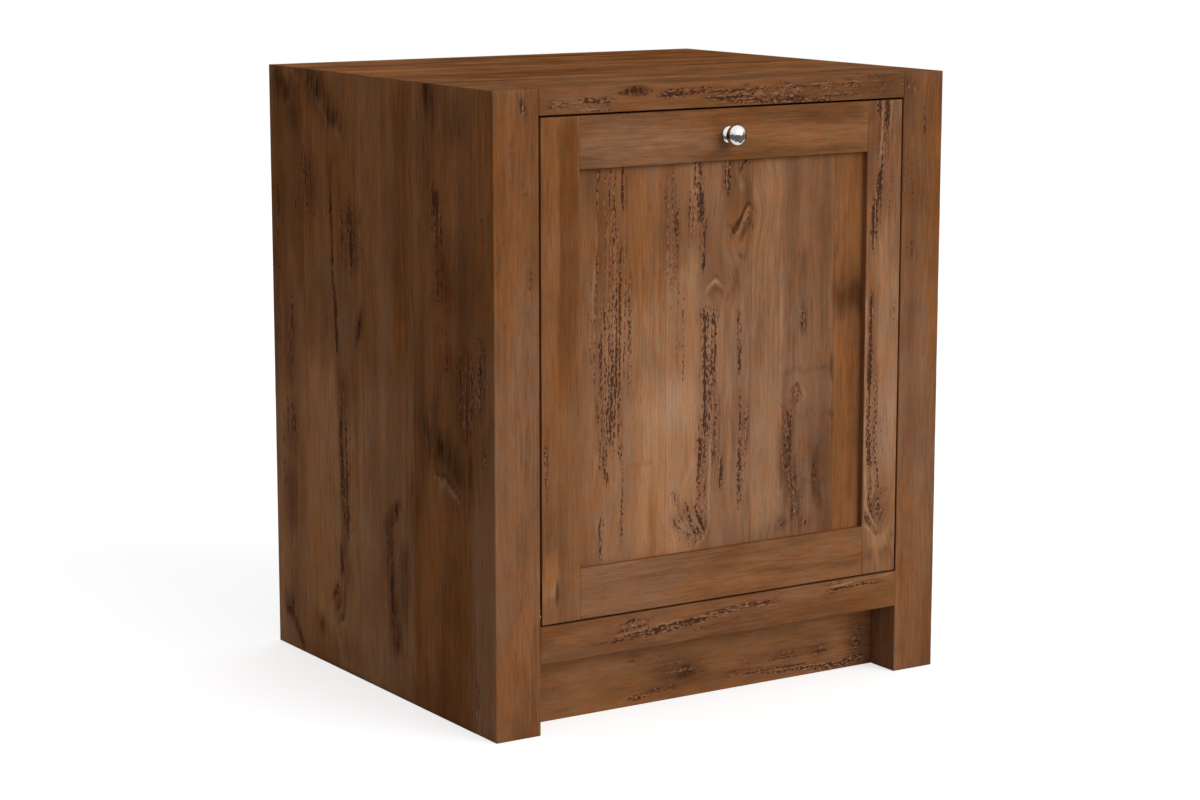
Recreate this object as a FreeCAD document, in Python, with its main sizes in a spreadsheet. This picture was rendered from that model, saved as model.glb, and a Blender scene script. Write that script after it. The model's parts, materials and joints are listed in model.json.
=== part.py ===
import FreeCAD, Part
import math
import os

import Sketcher
from FreeCAD import Rotation, Vector

# A free-standing cabinet for one built-in appliance, in distressed pine, with a drop-down door.
# Millimetres. X runs to the right, Y to the back and Z up. The front faces -Y, and the origin is on the floor
# at the middle of the space that the cabinet and its knob take up.

SIZES = {
    # overall
    "width": 768,
    "depth": 666,
    "height": 900,
    # front frame
    "post_width": 72,
    "post_depth": 57,
    "top_rail_height": 36,
    "lower_rail_base": 102,
    "lower_rail_height": 53,
    "lower_rail_thick": 32,
    "rail_tenon_thick": 14,
    "rail_tenon_length": 30,
    "rail_tenon_shoulder": 9,
    "plinth_thick": 20,
    "plinth_height": 125,
    # boards of the sides and the top
    "board_thick": 25,
    "side_board_width": 168,
    "top_board_width": 152,
    "tongue_thick": 8,
    "tongue_length": 9,
    "tongue_stop": 40,
    # inner frame
    "cleat_size": 20,
    "rear_rail_thick": 20,
    "rear_rail_height": 40,
    "wall_hole_radius": 2.75,
    "wall_hole_spacing": 500,
    "dowel_radius": 4,
    "dowel_in_side": 14,
    "dowel_in_rail": 26,
    "dowel_spacing": 20,
    "tie_bar_thick": 18,
    "tie_bar_base": 20,
    "tie_bar_height": 80,
    "rear_block_size": 30,
    # door
    "door_gap": 3,
    "door_thick": 24,
    "stile_width": 62,
    "door_rail_height": 73,
    "door_tenon_length": 40,
    "door_tenon_shoulder": 12,
    "panel_recess": 9,
    "panel_thick": 12,
    "panel_bite": 9,
    "panel_board_width": 147,
    "panel_board_least": 32,
    "panel_seam_shift": 48,
    "panel_tongue_thick": 4,
    "panel_tongue_length": 6,
    # pivot hinges
    "pivot_back": 8,
    "pivot_margin": 2,
    "pin_radius": 2.5,
    "pin_in_stile": 3,
    "plate_width": 12,
    "plate_thick": 2.5,
    "plate_length": 56,
    "plate_screw_rise": 17,
    "plate_screw_spacing": 22,
    "washer_radius": 5,
    # quadrant stays
    "stay_radius": 190,
    "stay_bar_height": 12,
    "stay_bar_thick": 3,
    "stay_inset": 1,
    "stay_end_radius": 10,
    "foot_thick": 3,
    "foot_width": 15,
    "foot_length": 52,
    "foot_screw_spacing": 34,
    "guide_setback": 4,
    "guide_length": 24,
    "guide_height": 30,
    "guide_strap": 2,
    "guide_ear": 13,
    # catch and stops
    "strike_thick": 1.5,
    "strike_width": 36,
    "strike_height": 14,
    "strike_drop": 2,
    "strike_screw_spacing": 20,
    "catch_width": 30,
    "catch_depth": 15,
    "catch_height": 14,
    "catch_ear": 10,
    "catch_ear_thick": 4,
    "magnet_width": 22,
    "magnet_depth": 9,
    "magnet_height": 8,
    "magnet_rise": 2,
    "stop_width": 11,
    "stop_depth": 14,
    "stop_length": 60,
    "stop_drop": 60,
    "pad_thick": 2,
    "pad_margin": 2,
    "head_strip_thick": 16,
    "head_strip_height": 14,
    # knob
    "knob_reach": 31,
    "knob_head_radius": 15.5,
    "knob_head_thick": 23,
    "knob_rim_radius": 9,
    "knob_neck_radius": 7.5,
    "knob_flange_radius": 11.5,
    "knob_flange_edge": 2,
    "knob_flange_rise": 5,
    "knob_thread_depth": 14,
    # screws
    "small_radius": 1.75,
    "small_length": 16,
    "small_head_radius": 3.3,
    "small_head_height": 2,
    "long_radius": 2,
    "long_length": 40,
    "long_head_radius": 4,
    "long_head_height": 2.4,
    "knob_screw_radius": 2,
    "knob_screw_head_radius": 4,
    "knob_screw_head_height": 2.5,
    "slot_width": 0.8,
    "slot_depth": 0.9,
    "plinth_screw_inset": 25,
    "plinth_screw_rise": 35,
    "plinth_screw_spacing": 60,
    "tie_screw_spacing": 50,
    "cleat_screw_inset": 100,
    # clearances
    "glue_fit": 0.2,
    "end_fit": 1,
    "screw_fit": 0.05,
    "press_fit": 0.02,
    "running_fit": 0.05,
    "slide_fit": 1,
    "rest_gap": 0.3,
}


class Length:
    """A length as its value now and as the formula over the sheet's cells that gives it."""

    def __init__(self, value, text):
        self.value = value
        self.text = text

    def combined(self, sign, other, turned=False):
        left, right = self, other if isinstance(other, Length) else Length(other, str(other))
        if turned:
            left, right = right, left
        operations = {
            "+": lambda a, b: a + b,
            "-": lambda a, b: a - b,
            "*": lambda a, b: a * b,
            "/": lambda a, b: a / b,
        }
        value = operations[sign](left.value, right.value)
        return Length(value, f"({left.text} {sign} {right.text})")

    def __add__(self, other):
        return self.combined("+", other)

    def __sub__(self, other):
        return self.combined("-", other)

    def __mul__(self, other):
        return self.combined("*", other)

    def __truediv__(self, other):
        return self.combined("/", other)

    def __radd__(self, other):
        return self.combined("+", other, turned=True)

    def __rsub__(self, other):
        return self.combined("-", other, turned=True)

    def __rmul__(self, other):
        return self.combined("*", other, turned=True)

    def __neg__(self):
        return Length(-self.value, f"(0 - {self.text})")


def root(length):
    return Length(math.sqrt(length.value), f"sqrt({length.text})")


class Sheet:
    """The driving dimensions, each a cell of the spreadsheet and a length of the same name."""

    def __init__(self, document):
        cells = document.addObject("Spreadsheet::Sheet", "sizes")
        for row, (name, value) in enumerate(SIZES.items(), start=1):
            cells.set(f"A{row}", name)
            cells.set(f"B{row}", str(value))
            cells.setAlias(f"B{row}", name)
            setattr(self, name, Length(value, f"sizes.{name}"))


doc = FreeCAD.newDocument("appliance_cabinet")
size = Sheet(doc)
doc.recompute()
pieces = []


def bind(thing, name, length):
    thing.setExpression(name, length.text)


def place(thing, x=None, y=None, z=None):
    for axis, length in (("x", x), ("y", y), ("z", z)):
        if length is not None:
            bind(thing, f"Placement.Base.{axis}", length)


def sub_part(label, thing):
    """Hands a finished object in as the sub-part of that name."""
    thing.Label = label
    pieces.append(thing)
    return thing


def box(x, y, z):
    """A block between two places on each axis."""
    block = doc.addObject("Part::Box", "block")
    for side, (low, high) in (("Length", x), ("Width", y), ("Height", z)):
        bind(block, side, high - low)
    place(block, x[0], y[0], z[0])
    return block


TURNED_TO = {
    "x": Rotation(Vector(0, 1, 0), 90),
    "y": Rotation(Vector(1, 0, 0), -90),
    "-x": Rotation(Vector(0, 1, 0), -90),
    "-y": Rotation(Vector(1, 0, 0), 90),
    "z": Rotation(),
}


def rod(axis, ends, radius, **centre):
    """A round bar along an axis between two places, with its centre on the other two axes."""
    bar = doc.addObject("Part::Cylinder", "bar")
    bar.Placement = FreeCAD.Placement(Vector(), TURNED_TO[axis])
    bind(bar, "Radius", radius)
    bind(bar, "Height", ends[1] - ends[0])
    place(bar, **{axis: ends[0]}, **centre)
    return bar


def group(*things):
    joined = doc.addObject("Part::Compound", "group")
    joined.Links = list(things)
    return joined


def fuse(*things):
    joined = doc.addObject("Part::MultiFuse", "joined")
    joined.Shapes = list(things)
    return joined


def cut(base, *tools):
    left = doc.addObject("Part::Cut", "cut")
    left.Base = base
    left.Tool = tools[0] if len(tools) == 1 else group(*tools)
    return left


def common(first, second):
    shared = doc.addObject("Part::Common", "shared")
    shared.Base = first
    shared.Tool = second
    return shared


def mirrored(thing):
    """The same thing on the other side of the cabinet's middle plane."""
    copy = doc.addObject("Part::Mirroring", "mirrored")
    copy.Source = thing
    copy.Normal = Vector(1, 0, 0)
    return copy


def pair(name, left):
    """A left piece and its mirrored right twin, as two sub-parts."""
    sub_part(f"left_{name}", left)
    sub_part(f"right_{name}", mirrored(left))


def new_sketch(body, name, plane):
    sketch = body.newObject("Sketcher::SketchObject", name)
    support = next(item for item in body.Origin.OriginFeatures if item.Role == plane)
    sketch.AttachmentSupport = [(support, "")]
    sketch.MapMode = "FlatFace"
    return sketch


def number(length):
    return float(length.value if isinstance(length, Length) else length)


def hold(sketch, kind, *ends, length):
    """A dimension of the sketch, driven by the sheet."""
    index = sketch.addConstraint(Sketcher.Constraint(kind, *ends, number(length)))
    bind(sketch, f"Constraints[{index}]", length)


def hold_point(sketch, line, end, across, along):
    """Holds an end of a line by its two distances from the sketch's axes."""
    for kind, axis, length in (("DistanceX", -2, across), ("DistanceY", -1, along)):
        if isinstance(length, Length):
            hold(sketch, kind, -1, 1, line, end, length=length)
        else:
            sketch.addConstraint(Sketcher.Constraint("PointOnObject", line, end, axis))


def outline(body, name, plane, points):
    """A closed outline of straight lines, whose corners are held by their distances from the axes."""
    sketch = new_sketch(body, name, plane)
    corners = [Vector(number(across), number(along), 0) for across, along in points]
    count = len(points)
    for index in range(count):
        sketch.addGeometry(Part.LineSegment(corners[index], corners[(index + 1) % count]))
    for index in range(count):
        sketch.addConstraint(Sketcher.Constraint("Coincident", index, 2, (index + 1) % count, 1))
    for index, (across, along) in enumerate(points):
        hold_point(sketch, index, 1, across, along)
    return sketch


def padded(name, plane, points, length, both_ways=False):
    """A body of one outline, padded along the plane's normal."""
    body = doc.addObject("PartDesign::Body", name)
    pad = body.newObject("PartDesign::Pad", "pad")
    pad.Profile = outline(body, "section", plane, points)
    pad.SideType = "Symmetric" if both_ways else "One side"
    bind(pad, "Length", length)
    return body


# Places that several pieces share. The left half is modelled and mirrored, so x runs down from zero.
floor = Length(0, "0")
middle_plane = Length(0, "0")
front = (size.knob_reach - size.depth) / 2
back = front + size.depth
side = size.width / 2
side_inner = side - size.board_thick
opening = side - size.post_width
post_back = front + size.post_depth
top_under = size.height - size.board_thick
top_rail_under = size.height - size.top_rail_height
lower_rail_top = size.lower_rail_base + size.lower_rail_height

door_edge = opening - size.door_gap
door_back = front + size.door_thick
door_base = lower_rail_top + size.door_gap
door_top = top_rail_under - size.door_gap
panel_edge = door_edge - size.stile_width
panel_front = front + size.panel_recess
panel_back = panel_front + size.panel_thick
panel_base = door_base + size.door_rail_height
panel_top = door_top - size.door_rail_height
groove_depth = size.panel_bite + size.end_fit

# The pivot is high enough for the door's lower front arris to swing clear of the lower rail.
pivot_y = front + size.pivot_back
swing_room = size.pivot_back * size.pivot_back - size.door_gap * size.door_gap
pivot_z = door_base + swing_room / (2 * size.door_gap) + size.pivot_margin


def widened(span, room):
    return (span[0] - room, span[1] + room)


def turned_screw(name, points):
    """A body turned about its own Z axis, with its head's face at zero and its point below."""
    body = doc.addObject("PartDesign::Body", name)
    turned = body.newObject("PartDesign::Revolution", "turned")
    turned.Profile = outline(body, "section", "XZ_Plane", points)
    turned.ReferenceAxis = (turned.Profile[0], ["V_Axis"])
    return body


def wood_screw(kind, room=None):
    """A countersunk wood screw with a slotted head, or with room round it the hole that it fills."""
    radius, length, head, head_height = (
        getattr(size, f"{kind}_{part}") for part in ("radius", "length", "head_radius", "head_height")
    )
    if room is None:
        point = radius * 2
        points = [(0, 0), (head, 0), (radius, -head_height), (radius, point - length), (0, -length)]
        body = turned_screw(f"{kind}_screw", points)
        slot = body.newObject("PartDesign::Pocket", "slot")
        half = size.slot_width / 2
        corners = [(-head, -half), (head, -half), (head, half), (-head, half)]
        slot.Profile = outline(body, "slot_outline", "XY_Plane", corners)
        bind(slot, "Length", size.slot_depth)
        return body
    radius, head = radius + room, head + room
    points = [(0, 0), (head, 0), (radius, -head_height), (radius, -(length + room)), (0, -(length + room))]
    return turned_screw(f"{kind}_screw_hole", points)


SCREW_KINDS = ("small", "long")
screws = {kind: wood_screw(kind) for kind in SCREW_KINDS}
screw_holes = {kind: wood_screw(kind, size.screw_fit) for kind in SCREW_KINDS}


def driven(master, heading, x, y, z):
    """A copy of a screw, or of its hole, with its head's face at a place and its point along a heading."""
    copy = doc.addObject("App::Link", "driven")
    copy.LinkedObject = master
    points_down = Rotation(Vector(1, 0, 0), 180)
    copy.Placement = FreeCAD.Placement(Vector(), TURNED_TO[heading] * points_down)
    place(copy, x, y, z)
    return copy


def screw_set(kind, heading, places):
    """The screws at those places, and the holes for them."""
    made = [driven(screws[kind], heading, *spot) for spot in places]
    holes = [driven(screw_holes[kind], heading, *spot) for spot in places]
    return made, holes


def both_sides(label, made):
    """One sub-part of a left group of screws and its mirrored right twin."""
    left = group(*made)
    sub_part(label, group(left, mirrored(left)))


# Where each left screw sits.
plate_screws = [pivot_z + size.plate_screw_rise + size.plate_screw_spacing * index for index in range(2)]
hinge_frame_screws, hinge_frame_holes = screw_set(
    "small", "-x", [(-opening, pivot_y, height) for height in plate_screws]
)
hinge_door_screws, hinge_door_holes = screw_set(
    "small", "x", [(-door_edge, pivot_y, height) for height in plate_screws]
)

stay_outer = door_edge - size.stay_inset
stay_inner = stay_outer - size.stay_bar_thick
foot_reach = size.door_thick - size.pivot_back
foot_z = pivot_z + root(size.stay_radius * size.stay_radius - foot_reach * foot_reach)
foot_back = door_back + size.foot_thick
foot_screw_x = (stay_inner + stay_outer - size.foot_width) / 2
stay_arm_screws, stay_arm_holes = screw_set(
    "small",
    "-y",
    [(-foot_screw_x, foot_back, foot_z + size.foot_screw_spacing * share) for share in (-0.5, 0.5)],
)

guide_front = door_back + size.guide_setback
guide_y = guide_front + size.guide_length / 2
guide_back = guide_front + size.guide_length
guide_reach = guide_y - pivot_y
guide_z = pivot_z + root(size.stay_radius * size.stay_radius - guide_reach * guide_reach)
guide_plate_face = stay_outer + size.slide_fit
guide_strap_back = stay_inner - size.slide_fit
guide_ear_middle = (size.guide_height + size.guide_ear) / 2
stay_guide_screws, stay_guide_holes = screw_set(
    "small",
    "-x",
    [(-guide_plate_face, guide_y, guide_z + guide_ear_middle * way) for way in (-1, 1)],
)

plinth_back = post_back + size.plinth_thick
plinth_screw_x = opening + size.plinth_screw_inset
plinth_screws, plinth_holes = screw_set(
    "long",
    "-y",
    [
        (-plinth_screw_x, plinth_back, size.plinth_screw_rise + size.plinth_screw_spacing * index)
        for index in range(2)
    ],
)

tie_bar_front = back - size.tie_bar_thick
rear_block_inner = side_inner - size.rear_block_size
tie_bar_middle = size.tie_bar_base + size.tie_bar_height / 2
tie_bar_screws, tie_bar_holes = screw_set(
    "long",
    "-y",
    [
        (-(side_inner + rear_block_inner) / 2, back, tie_bar_middle + size.tie_screw_spacing * share)
        for share in (-0.5, 0.5)
    ],
)

# The boards of the sides and the top run from the posts to the back. The last one is ripped to what is left.
board_span = size.depth - size.post_depth


def board_edges(board_width):
    count = round(board_span.value / board_width.value)
    return [post_back + board_width * index for index in range(count)] + [back]


side_edges = board_edges(size.side_board_width)
top_edges = board_edges(size.top_board_width)

cleat_inner = side_inner - size.cleat_size
cleat_under = top_under - size.cleat_size
rear_rail_front = back - size.rear_rail_thick
top_screw_places = [(low + high) / 2 for low, high in zip(top_edges, top_edges[1:])]
side_screw_places = [edge + size.cleat_screw_inset for edge in side_edges[:-2]]
cleat_up_screws, cleat_up_holes = screw_set(
    "long",
    "z",
    [(-(side_inner + cleat_inner) / 2, place_y, cleat_under) for place_y in top_screw_places],
)
cleat_side_screws, cleat_side_holes = screw_set(
    "long",
    "-x",
    [(-cleat_inner, place_y, (top_under + cleat_under) / 2) for place_y in side_screw_places],
)

catch_front = door_back + size.strike_thick + size.rest_gap
catch_back = catch_front + size.catch_depth
catch_side = size.catch_width / 2
catch_ear_under = top_rail_under - size.catch_ear_thick
catch_screws, catch_holes = screw_set(
    "small",
    "z",
    [(-(catch_side + size.catch_ear / 2), (catch_front + catch_back) / 2, catch_ear_under)],
)

strike_back = door_back + size.strike_thick
strike_top = door_top - size.strike_drop
strike_base = strike_top - size.strike_height
strike_screws, strike_holes = screw_set(
    "small",
    "-y",
    [(-size.strike_screw_spacing / 2, strike_back, (strike_top + strike_base) / 2)],
)


def tenon(x, y_middle, thick, z, room=None):
    """A tenon, or with room round it its mortise, which is also deeper by the end fit."""
    y = (y_middle - thick / 2, y_middle + thick / 2)
    if room is None:
        return box(x, y, z)
    return box((x[0] - size.end_fit, x[1]), widened(y, room), widened(z, room))


top_rail_middle = front + size.post_depth / 2
lower_rail_middle = front + size.lower_rail_thick / 2
rail_tenon_x = (-(opening + size.rail_tenon_length), -opening)
top_rail_tenon_z = widened((top_rail_under, size.height), -size.rail_tenon_shoulder)
lower_rail_tenon_z = widened((size.lower_rail_base, lower_rail_top), -size.rail_tenon_shoulder)

# Tongues are centred in the thickness of the boards, and grooves take them with the glue fit.
side_tongue_x = (
    -(side - (size.board_thick - size.tongue_thick) / 2),
    -(side - (size.board_thick + size.tongue_thick) / 2),
)
top_tongue_z = (
    size.height - (size.board_thick + size.tongue_thick) / 2,
    size.height - (size.board_thick - size.tongue_thick) / 2,
)
tongue_groove = size.tongue_length + size.end_fit


def hinge_plate(x, room=None):
    """A plate with round ends that holds the pivot, or with room round it the recess that it lies in."""
    radius = size.plate_width / 2 if room is None else size.plate_width / 2 + room
    upper = pivot_z + size.plate_length - size.plate_width
    return fuse(
        box(x, (pivot_y - radius, pivot_y + radius), (pivot_z, upper)),
        rod("x", x, radius, y=pivot_y, z=pivot_z),
        rod("x", x, radius, y=pivot_y, z=upper),
    )


frame_plate_x = (-(opening + size.plate_thick), -opening)
door_plate_x = (-door_edge, -(door_edge - size.plate_thick))
pin_x = (frame_plate_x[0], door_plate_x[1] + size.pin_in_stile)


def make_posts():
    post = box((-side, -opening), (front, post_back), (floor, size.height))
    groove = box(
        widened(side_tongue_x, size.glue_fit),
        (post_back - tongue_groove, post_back),
        (floor, size.height - size.tongue_stop + size.glue_fit),
    )
    mortises = [
        tenon(rail_tenon_x, top_rail_middle, size.rail_tenon_thick, top_rail_tenon_z, size.glue_fit),
        tenon(rail_tenon_x, lower_rail_middle, size.rail_tenon_thick, lower_rail_tenon_z, size.glue_fit),
    ]
    recess = hinge_plate(frame_plate_x, size.screw_fit)
    holes = hinge_frame_holes + stay_guide_holes + plinth_holes
    pair("front_post", cut(cut(post, groove, recess, *mortises), *holes))


def make_front_rails():
    tenon_left = tenon(rail_tenon_x, top_rail_middle, size.rail_tenon_thick, top_rail_tenon_z)
    rail = box((-opening, opening), (front, post_back), (top_rail_under, size.height))
    groove = box(
        (-opening, opening),
        (post_back - tongue_groove, post_back),
        widened(top_tongue_z, size.glue_fit),
    )
    left_holes = group(*catch_holes)
    whole = fuse(rail, tenon_left, mirrored(tenon_left))
    sub_part("front_top_rail", cut(whole, groove, left_holes, mirrored(left_holes)))

    tenon_left = tenon(rail_tenon_x, lower_rail_middle, size.rail_tenon_thick, lower_rail_tenon_z)
    rail = box(
        (-opening, opening),
        (front, front + size.lower_rail_thick),
        (size.lower_rail_base, lower_rail_top),
    )
    sub_part("front_lower_rail", fuse(rail, tenon_left, mirrored(tenon_left)))


def make_plinth():
    board = box((-side_inner, side_inner), (post_back, plinth_back), (floor, size.plinth_height))
    left_holes = group(*plinth_holes)
    sub_part("plinth_board", cut(board, left_holes, mirrored(left_holes)))


def tongued_section(thick, wide, tongue, tongue_length, grooved):
    """Corners, as places across the thickness and along the width, of a board with a tongue on its near edge
    and, if grooved, a groove on its far edge."""
    low, high = thick
    near, far = wide
    groove = widened(tongue, size.glue_fit)
    bottom = far - tongue_length - size.end_fit
    corners = [(low, near), (tongue[0], near), (tongue[0], near - tongue_length)]
    corners += [(tongue[1], near - tongue_length), (tongue[1], near), (high, near), (high, far)]
    if grooved:
        corners += [(groove[1], far), (groove[1], bottom), (groove[0], bottom), (groove[0], far)]
    return corners + [(low, far)]


def mitre_waste(waste_above):
    """A block with one face on the left mitre, turned half a right angle about the upper outer arris."""
    block = doc.addObject("Part::Box", "mitre_waste")
    block.Placement = FreeCAD.Placement(Vector(), Rotation(Vector(0, 1, 0), 45))
    bind(block, "Length", size.board_thick * 2)
    bind(block, "Width", size.depth)
    bind(block, "Height", size.board_thick * 2)
    drop = size.board_thick * 2 * root(Length(0.5, "0.5"))
    if waste_above:
        place(block, -side, front, size.height)
    else:
        place(block, -side - drop, front, size.height - drop)
    return block


def make_sides():
    last = len(side_edges) - 2
    for index, edges in enumerate(zip(side_edges, side_edges[1:])):
        corners = tongued_section(
            (-side, -side_inner), edges, side_tongue_x, size.tongue_length, index < last
        )
        board = padded("side_board", "XY_Plane", corners, size.height)
        tools = [mitre_waste(waste_above=True)]
        if index == 0:
            tools.append(
                box(
                    side_tongue_x,
                    (edges[0] - size.tongue_length, edges[0]),
                    (size.height - size.tongue_stop, size.height),
                )
            )
        board = cut(board, fuse(*tools) if len(tools) > 1 else tools[0])
        if index < last:
            board = cut(board, cleat_side_holes[index])
        if index == last:
            board = cut(board, *dowels(size.press_fit))
        pair(f"side_board_{index + 1}", board)


def make_top():
    last = len(top_edges) - 2
    for index, edges in enumerate(zip(top_edges, top_edges[1:])):
        corners = tongued_section(
            (top_under, size.height), edges, top_tongue_z, size.tongue_length, index < last
        )
        swapped = [(along, across) for across, along in corners]
        board = padded("top_board", "YZ_Plane", swapped, size.width, both_ways=True)
        left_waste = [mitre_waste(waste_above=False), cleat_up_holes[index]]
        if index == 0:
            left_waste.append(
                box((-side, -opening), (edges[0] - size.tongue_length, edges[0]), top_tongue_z)
            )
        left = fuse(*left_waste)
        sub_part(f"top_board_{index + 1}", cut(cut(board, left), mirrored(left)))


def dowels(room=None):
    """The two left dowels of the rear rail, or with room round them their holes in the side and the rail."""
    radius = size.dowel_radius if room is None else size.dowel_radius + room
    ends = (-(side_inner + size.dowel_in_side), -(side_inner - size.dowel_in_rail))
    if room is not None:
        ends = widened(ends, size.glue_fit)
    y = (rear_rail_front + back) / 2
    middle = top_under - size.rear_rail_height / 2
    heights = [middle + size.dowel_spacing * share for share in (-0.5, 0.5)]
    return [rod("x", ends, radius, y=y, z=height) for height in heights]


def make_inner_frame():
    cleat = box((-side_inner, -cleat_inner), (post_back, rear_rail_front), (cleat_under, top_under))
    pair("top_cleat", cut(cleat, *cleat_up_holes, *cleat_side_holes))

    rail_z = (top_under - size.rear_rail_height, top_under)
    rail = box((-side_inner, side_inner), (rear_rail_front, back), rail_z)
    wall_hole = rod(
        "y",
        (rear_rail_front, back),
        size.wall_hole_radius,
        x=-size.wall_hole_spacing / 2,
        z=(rail_z[0] + rail_z[1]) / 2,
    )
    left_holes = group(wall_hole, *dowels(size.press_fit))
    sub_part("rear_top_rail", cut(rail, left_holes, mirrored(left_holes)))
    left_dowels = group(*dowels())
    sub_part("rear_rail_dowels", group(left_dowels, mirrored(left_dowels)))

    tie_bar_z = (size.tie_bar_base, size.tie_bar_base + size.tie_bar_height)
    block = box(
        (-side_inner, -rear_block_inner), (tie_bar_front - size.rear_block_size, tie_bar_front), tie_bar_z
    )
    pair("rear_block", cut(block, *tie_bar_holes))
    left_holes = group(*tie_bar_holes)
    bar = box((-side_inner, side_inner), (tie_bar_front, back), tie_bar_z)
    sub_part("rear_tie_bar", cut(bar, left_holes, mirrored(left_holes)))


door_tenon_x = (-(panel_edge + size.door_tenon_length), -panel_edge)
door_tenon_y = (panel_front + panel_back) / 2
top_tenon_z = widened((panel_top, door_top), -size.door_tenon_shoulder)
bottom_tenon_z = widened((door_base, panel_base), -size.door_tenon_shoulder)
panel_groove_y = widened((panel_front, panel_back), size.glue_fit)
knob_z = (panel_top + door_top) / 2


def make_door_frame():
    stile = box((-door_edge, -panel_edge), (front, door_back), (door_base, door_top))
    groove = box(
        (-(panel_edge + groove_depth), -panel_edge),
        panel_groove_y,
        (panel_base - groove_depth, panel_top + groove_depth),
    )
    mortises = [
        tenon(door_tenon_x, door_tenon_y, size.panel_thick, z, size.glue_fit)
        for z in (top_tenon_z, bottom_tenon_z)
    ]
    pin_room = rod(
        "x",
        (-door_edge, pin_x[1] + size.end_fit),
        size.pin_radius + size.end_fit,
        y=pivot_y,
        z=pivot_z,
    )
    recess = fuse(hinge_plate(door_plate_x, size.screw_fit), pin_room)
    pair("door_stile", cut(cut(stile, groove, recess, *mortises), *hinge_door_holes, *stay_arm_holes))

    rail_x = (-panel_edge, panel_edge)
    tenon_left = tenon(door_tenon_x, door_tenon_y, size.panel_thick, top_tenon_z)
    rail = box(rail_x, (front, door_back), (panel_top, door_top))
    groove = box(rail_x, panel_groove_y, (panel_top, panel_top + groove_depth))
    knob_hole = rod(
        "y",
        (front, door_back),
        size.knob_screw_radius + size.screw_fit,
        x=middle_plane,
        z=knob_z,
    )
    left_holes = group(*strike_holes)
    whole = fuse(rail, tenon_left, mirrored(tenon_left))
    sub_part("door_top_rail", cut(whole, groove, knob_hole, left_holes, mirrored(left_holes)))

    tenon_left = tenon(door_tenon_x, door_tenon_y, size.panel_thick, bottom_tenon_z)
    rail = box(rail_x, (front, door_back), (door_base, panel_base))
    groove = box(rail_x, panel_groove_y, (panel_base - groove_depth, panel_base))
    sub_part("door_bottom_rail", cut(fuse(rail, tenon_left, mirrored(tenon_left)), groove))


def make_panel():
    """Tongued boards in the door's grooves, seamed at a steady pitch either side of one seam."""
    half = panel_edge + size.panel_bite
    most = math.ceil(half.value * 2 / size.panel_board_width.value)
    seams = [size.panel_seam_shift + size.panel_board_width * turn for turn in range(-most, most + 1)]
    outermost = (half - size.panel_board_least).value
    edges = [-half] + [seam for seam in seams if abs(seam.value) <= outermost] + [half]
    middle = (panel_front + panel_back) / 2
    tongue_y = (middle - size.panel_tongue_thick / 2, middle + size.panel_tongue_thick / 2)
    last = len(edges) - 2
    for index, (near, far) in enumerate(zip(edges, edges[1:])):
        corners = tongued_section(
            (panel_front, panel_back), (near, far), tongue_y, size.panel_tongue_length, index < last
        )
        if index == 0:
            corners = [corners[0]] + corners[5:]
        swapped = [(along, across) for across, along in corners]
        tall = panel_top - panel_base + size.panel_bite * 2
        board = padded("panel_board", "XY_Plane", swapped, tall)
        place(board, z=panel_base - size.panel_bite)
        sub_part(f"door_panel_board_{index + 1}", board)


def make_hinges():
    pin_hole = rod("x", pin_x, size.pin_radius + size.press_fit, y=pivot_y, z=pivot_z)
    pair("hinge_frame_plate", cut(hinge_plate(frame_plate_x), pin_hole, *hinge_frame_holes))
    eye = rod("x", pin_x, size.pin_radius + size.running_fit, y=pivot_y, z=pivot_z)
    pair("hinge_door_plate", cut(hinge_plate(door_plate_x), eye, *hinge_door_holes))
    pin = rod("x", pin_x, size.pin_radius, y=pivot_y, z=pivot_z)
    sub_part("pivot_pins", group(pin, mirrored(pin)))
    washer_x = widened((-opening, -door_edge), -size.glue_fit)
    washer = cut(rod("x", washer_x, size.washer_radius, y=pivot_y, z=pivot_z), eye)
    sub_part("pivot_washers", group(washer, mirrored(washer)))


def quadrant(x, radial):
    """A ring about the pivot between two radii."""
    low, high = radial
    return cut(rod("x", x, high, y=pivot_y, z=pivot_z), rod("x", x, low, y=pivot_y, z=pivot_z))


def make_stays():
    bar_x = (-stay_outer, -stay_inner)
    band = widened((size.stay_radius, size.stay_radius), size.stay_bar_height / 2)
    # The round end stops against the back of the guide when the door is level.
    end_drop = guide_back - pivot_y + size.stay_end_radius + size.rest_gap
    end_back = root(size.stay_radius * size.stay_radius - end_drop * end_drop)
    reach = band[1] + size.end_fit
    sector = box(bar_x, (door_back, pivot_y + reach), (pivot_z - end_drop, pivot_z + reach))
    round_end = rod("x", bar_x, size.stay_end_radius, y=pivot_y + end_back, z=pivot_z - end_drop)
    foot = box(
        (-stay_outer, -(stay_outer - size.foot_width)),
        (door_back, foot_back),
        widened((foot_z, foot_z), size.foot_length / 2),
    )
    arm = fuse(common(quadrant(bar_x, band), sector), round_end, foot)
    pair("stay_arm", cut(arm, *stay_arm_holes))

    guide_span = (guide_front, guide_back)
    plate = box(
        (-opening, -guide_plate_face),
        guide_span,
        widened((guide_z, guide_z), size.guide_height / 2 + size.guide_ear),
    )
    loop = box(
        (-opening, -(guide_strap_back - size.guide_strap)),
        guide_span,
        widened((guide_z, guide_z), size.guide_height / 2),
    )
    slot = quadrant((-guide_plate_face, -guide_strap_back), widened(band, size.slide_fit))
    pair("stay_guide", cut(cut(fuse(plate, loop), slot), *stay_guide_holes))


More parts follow.
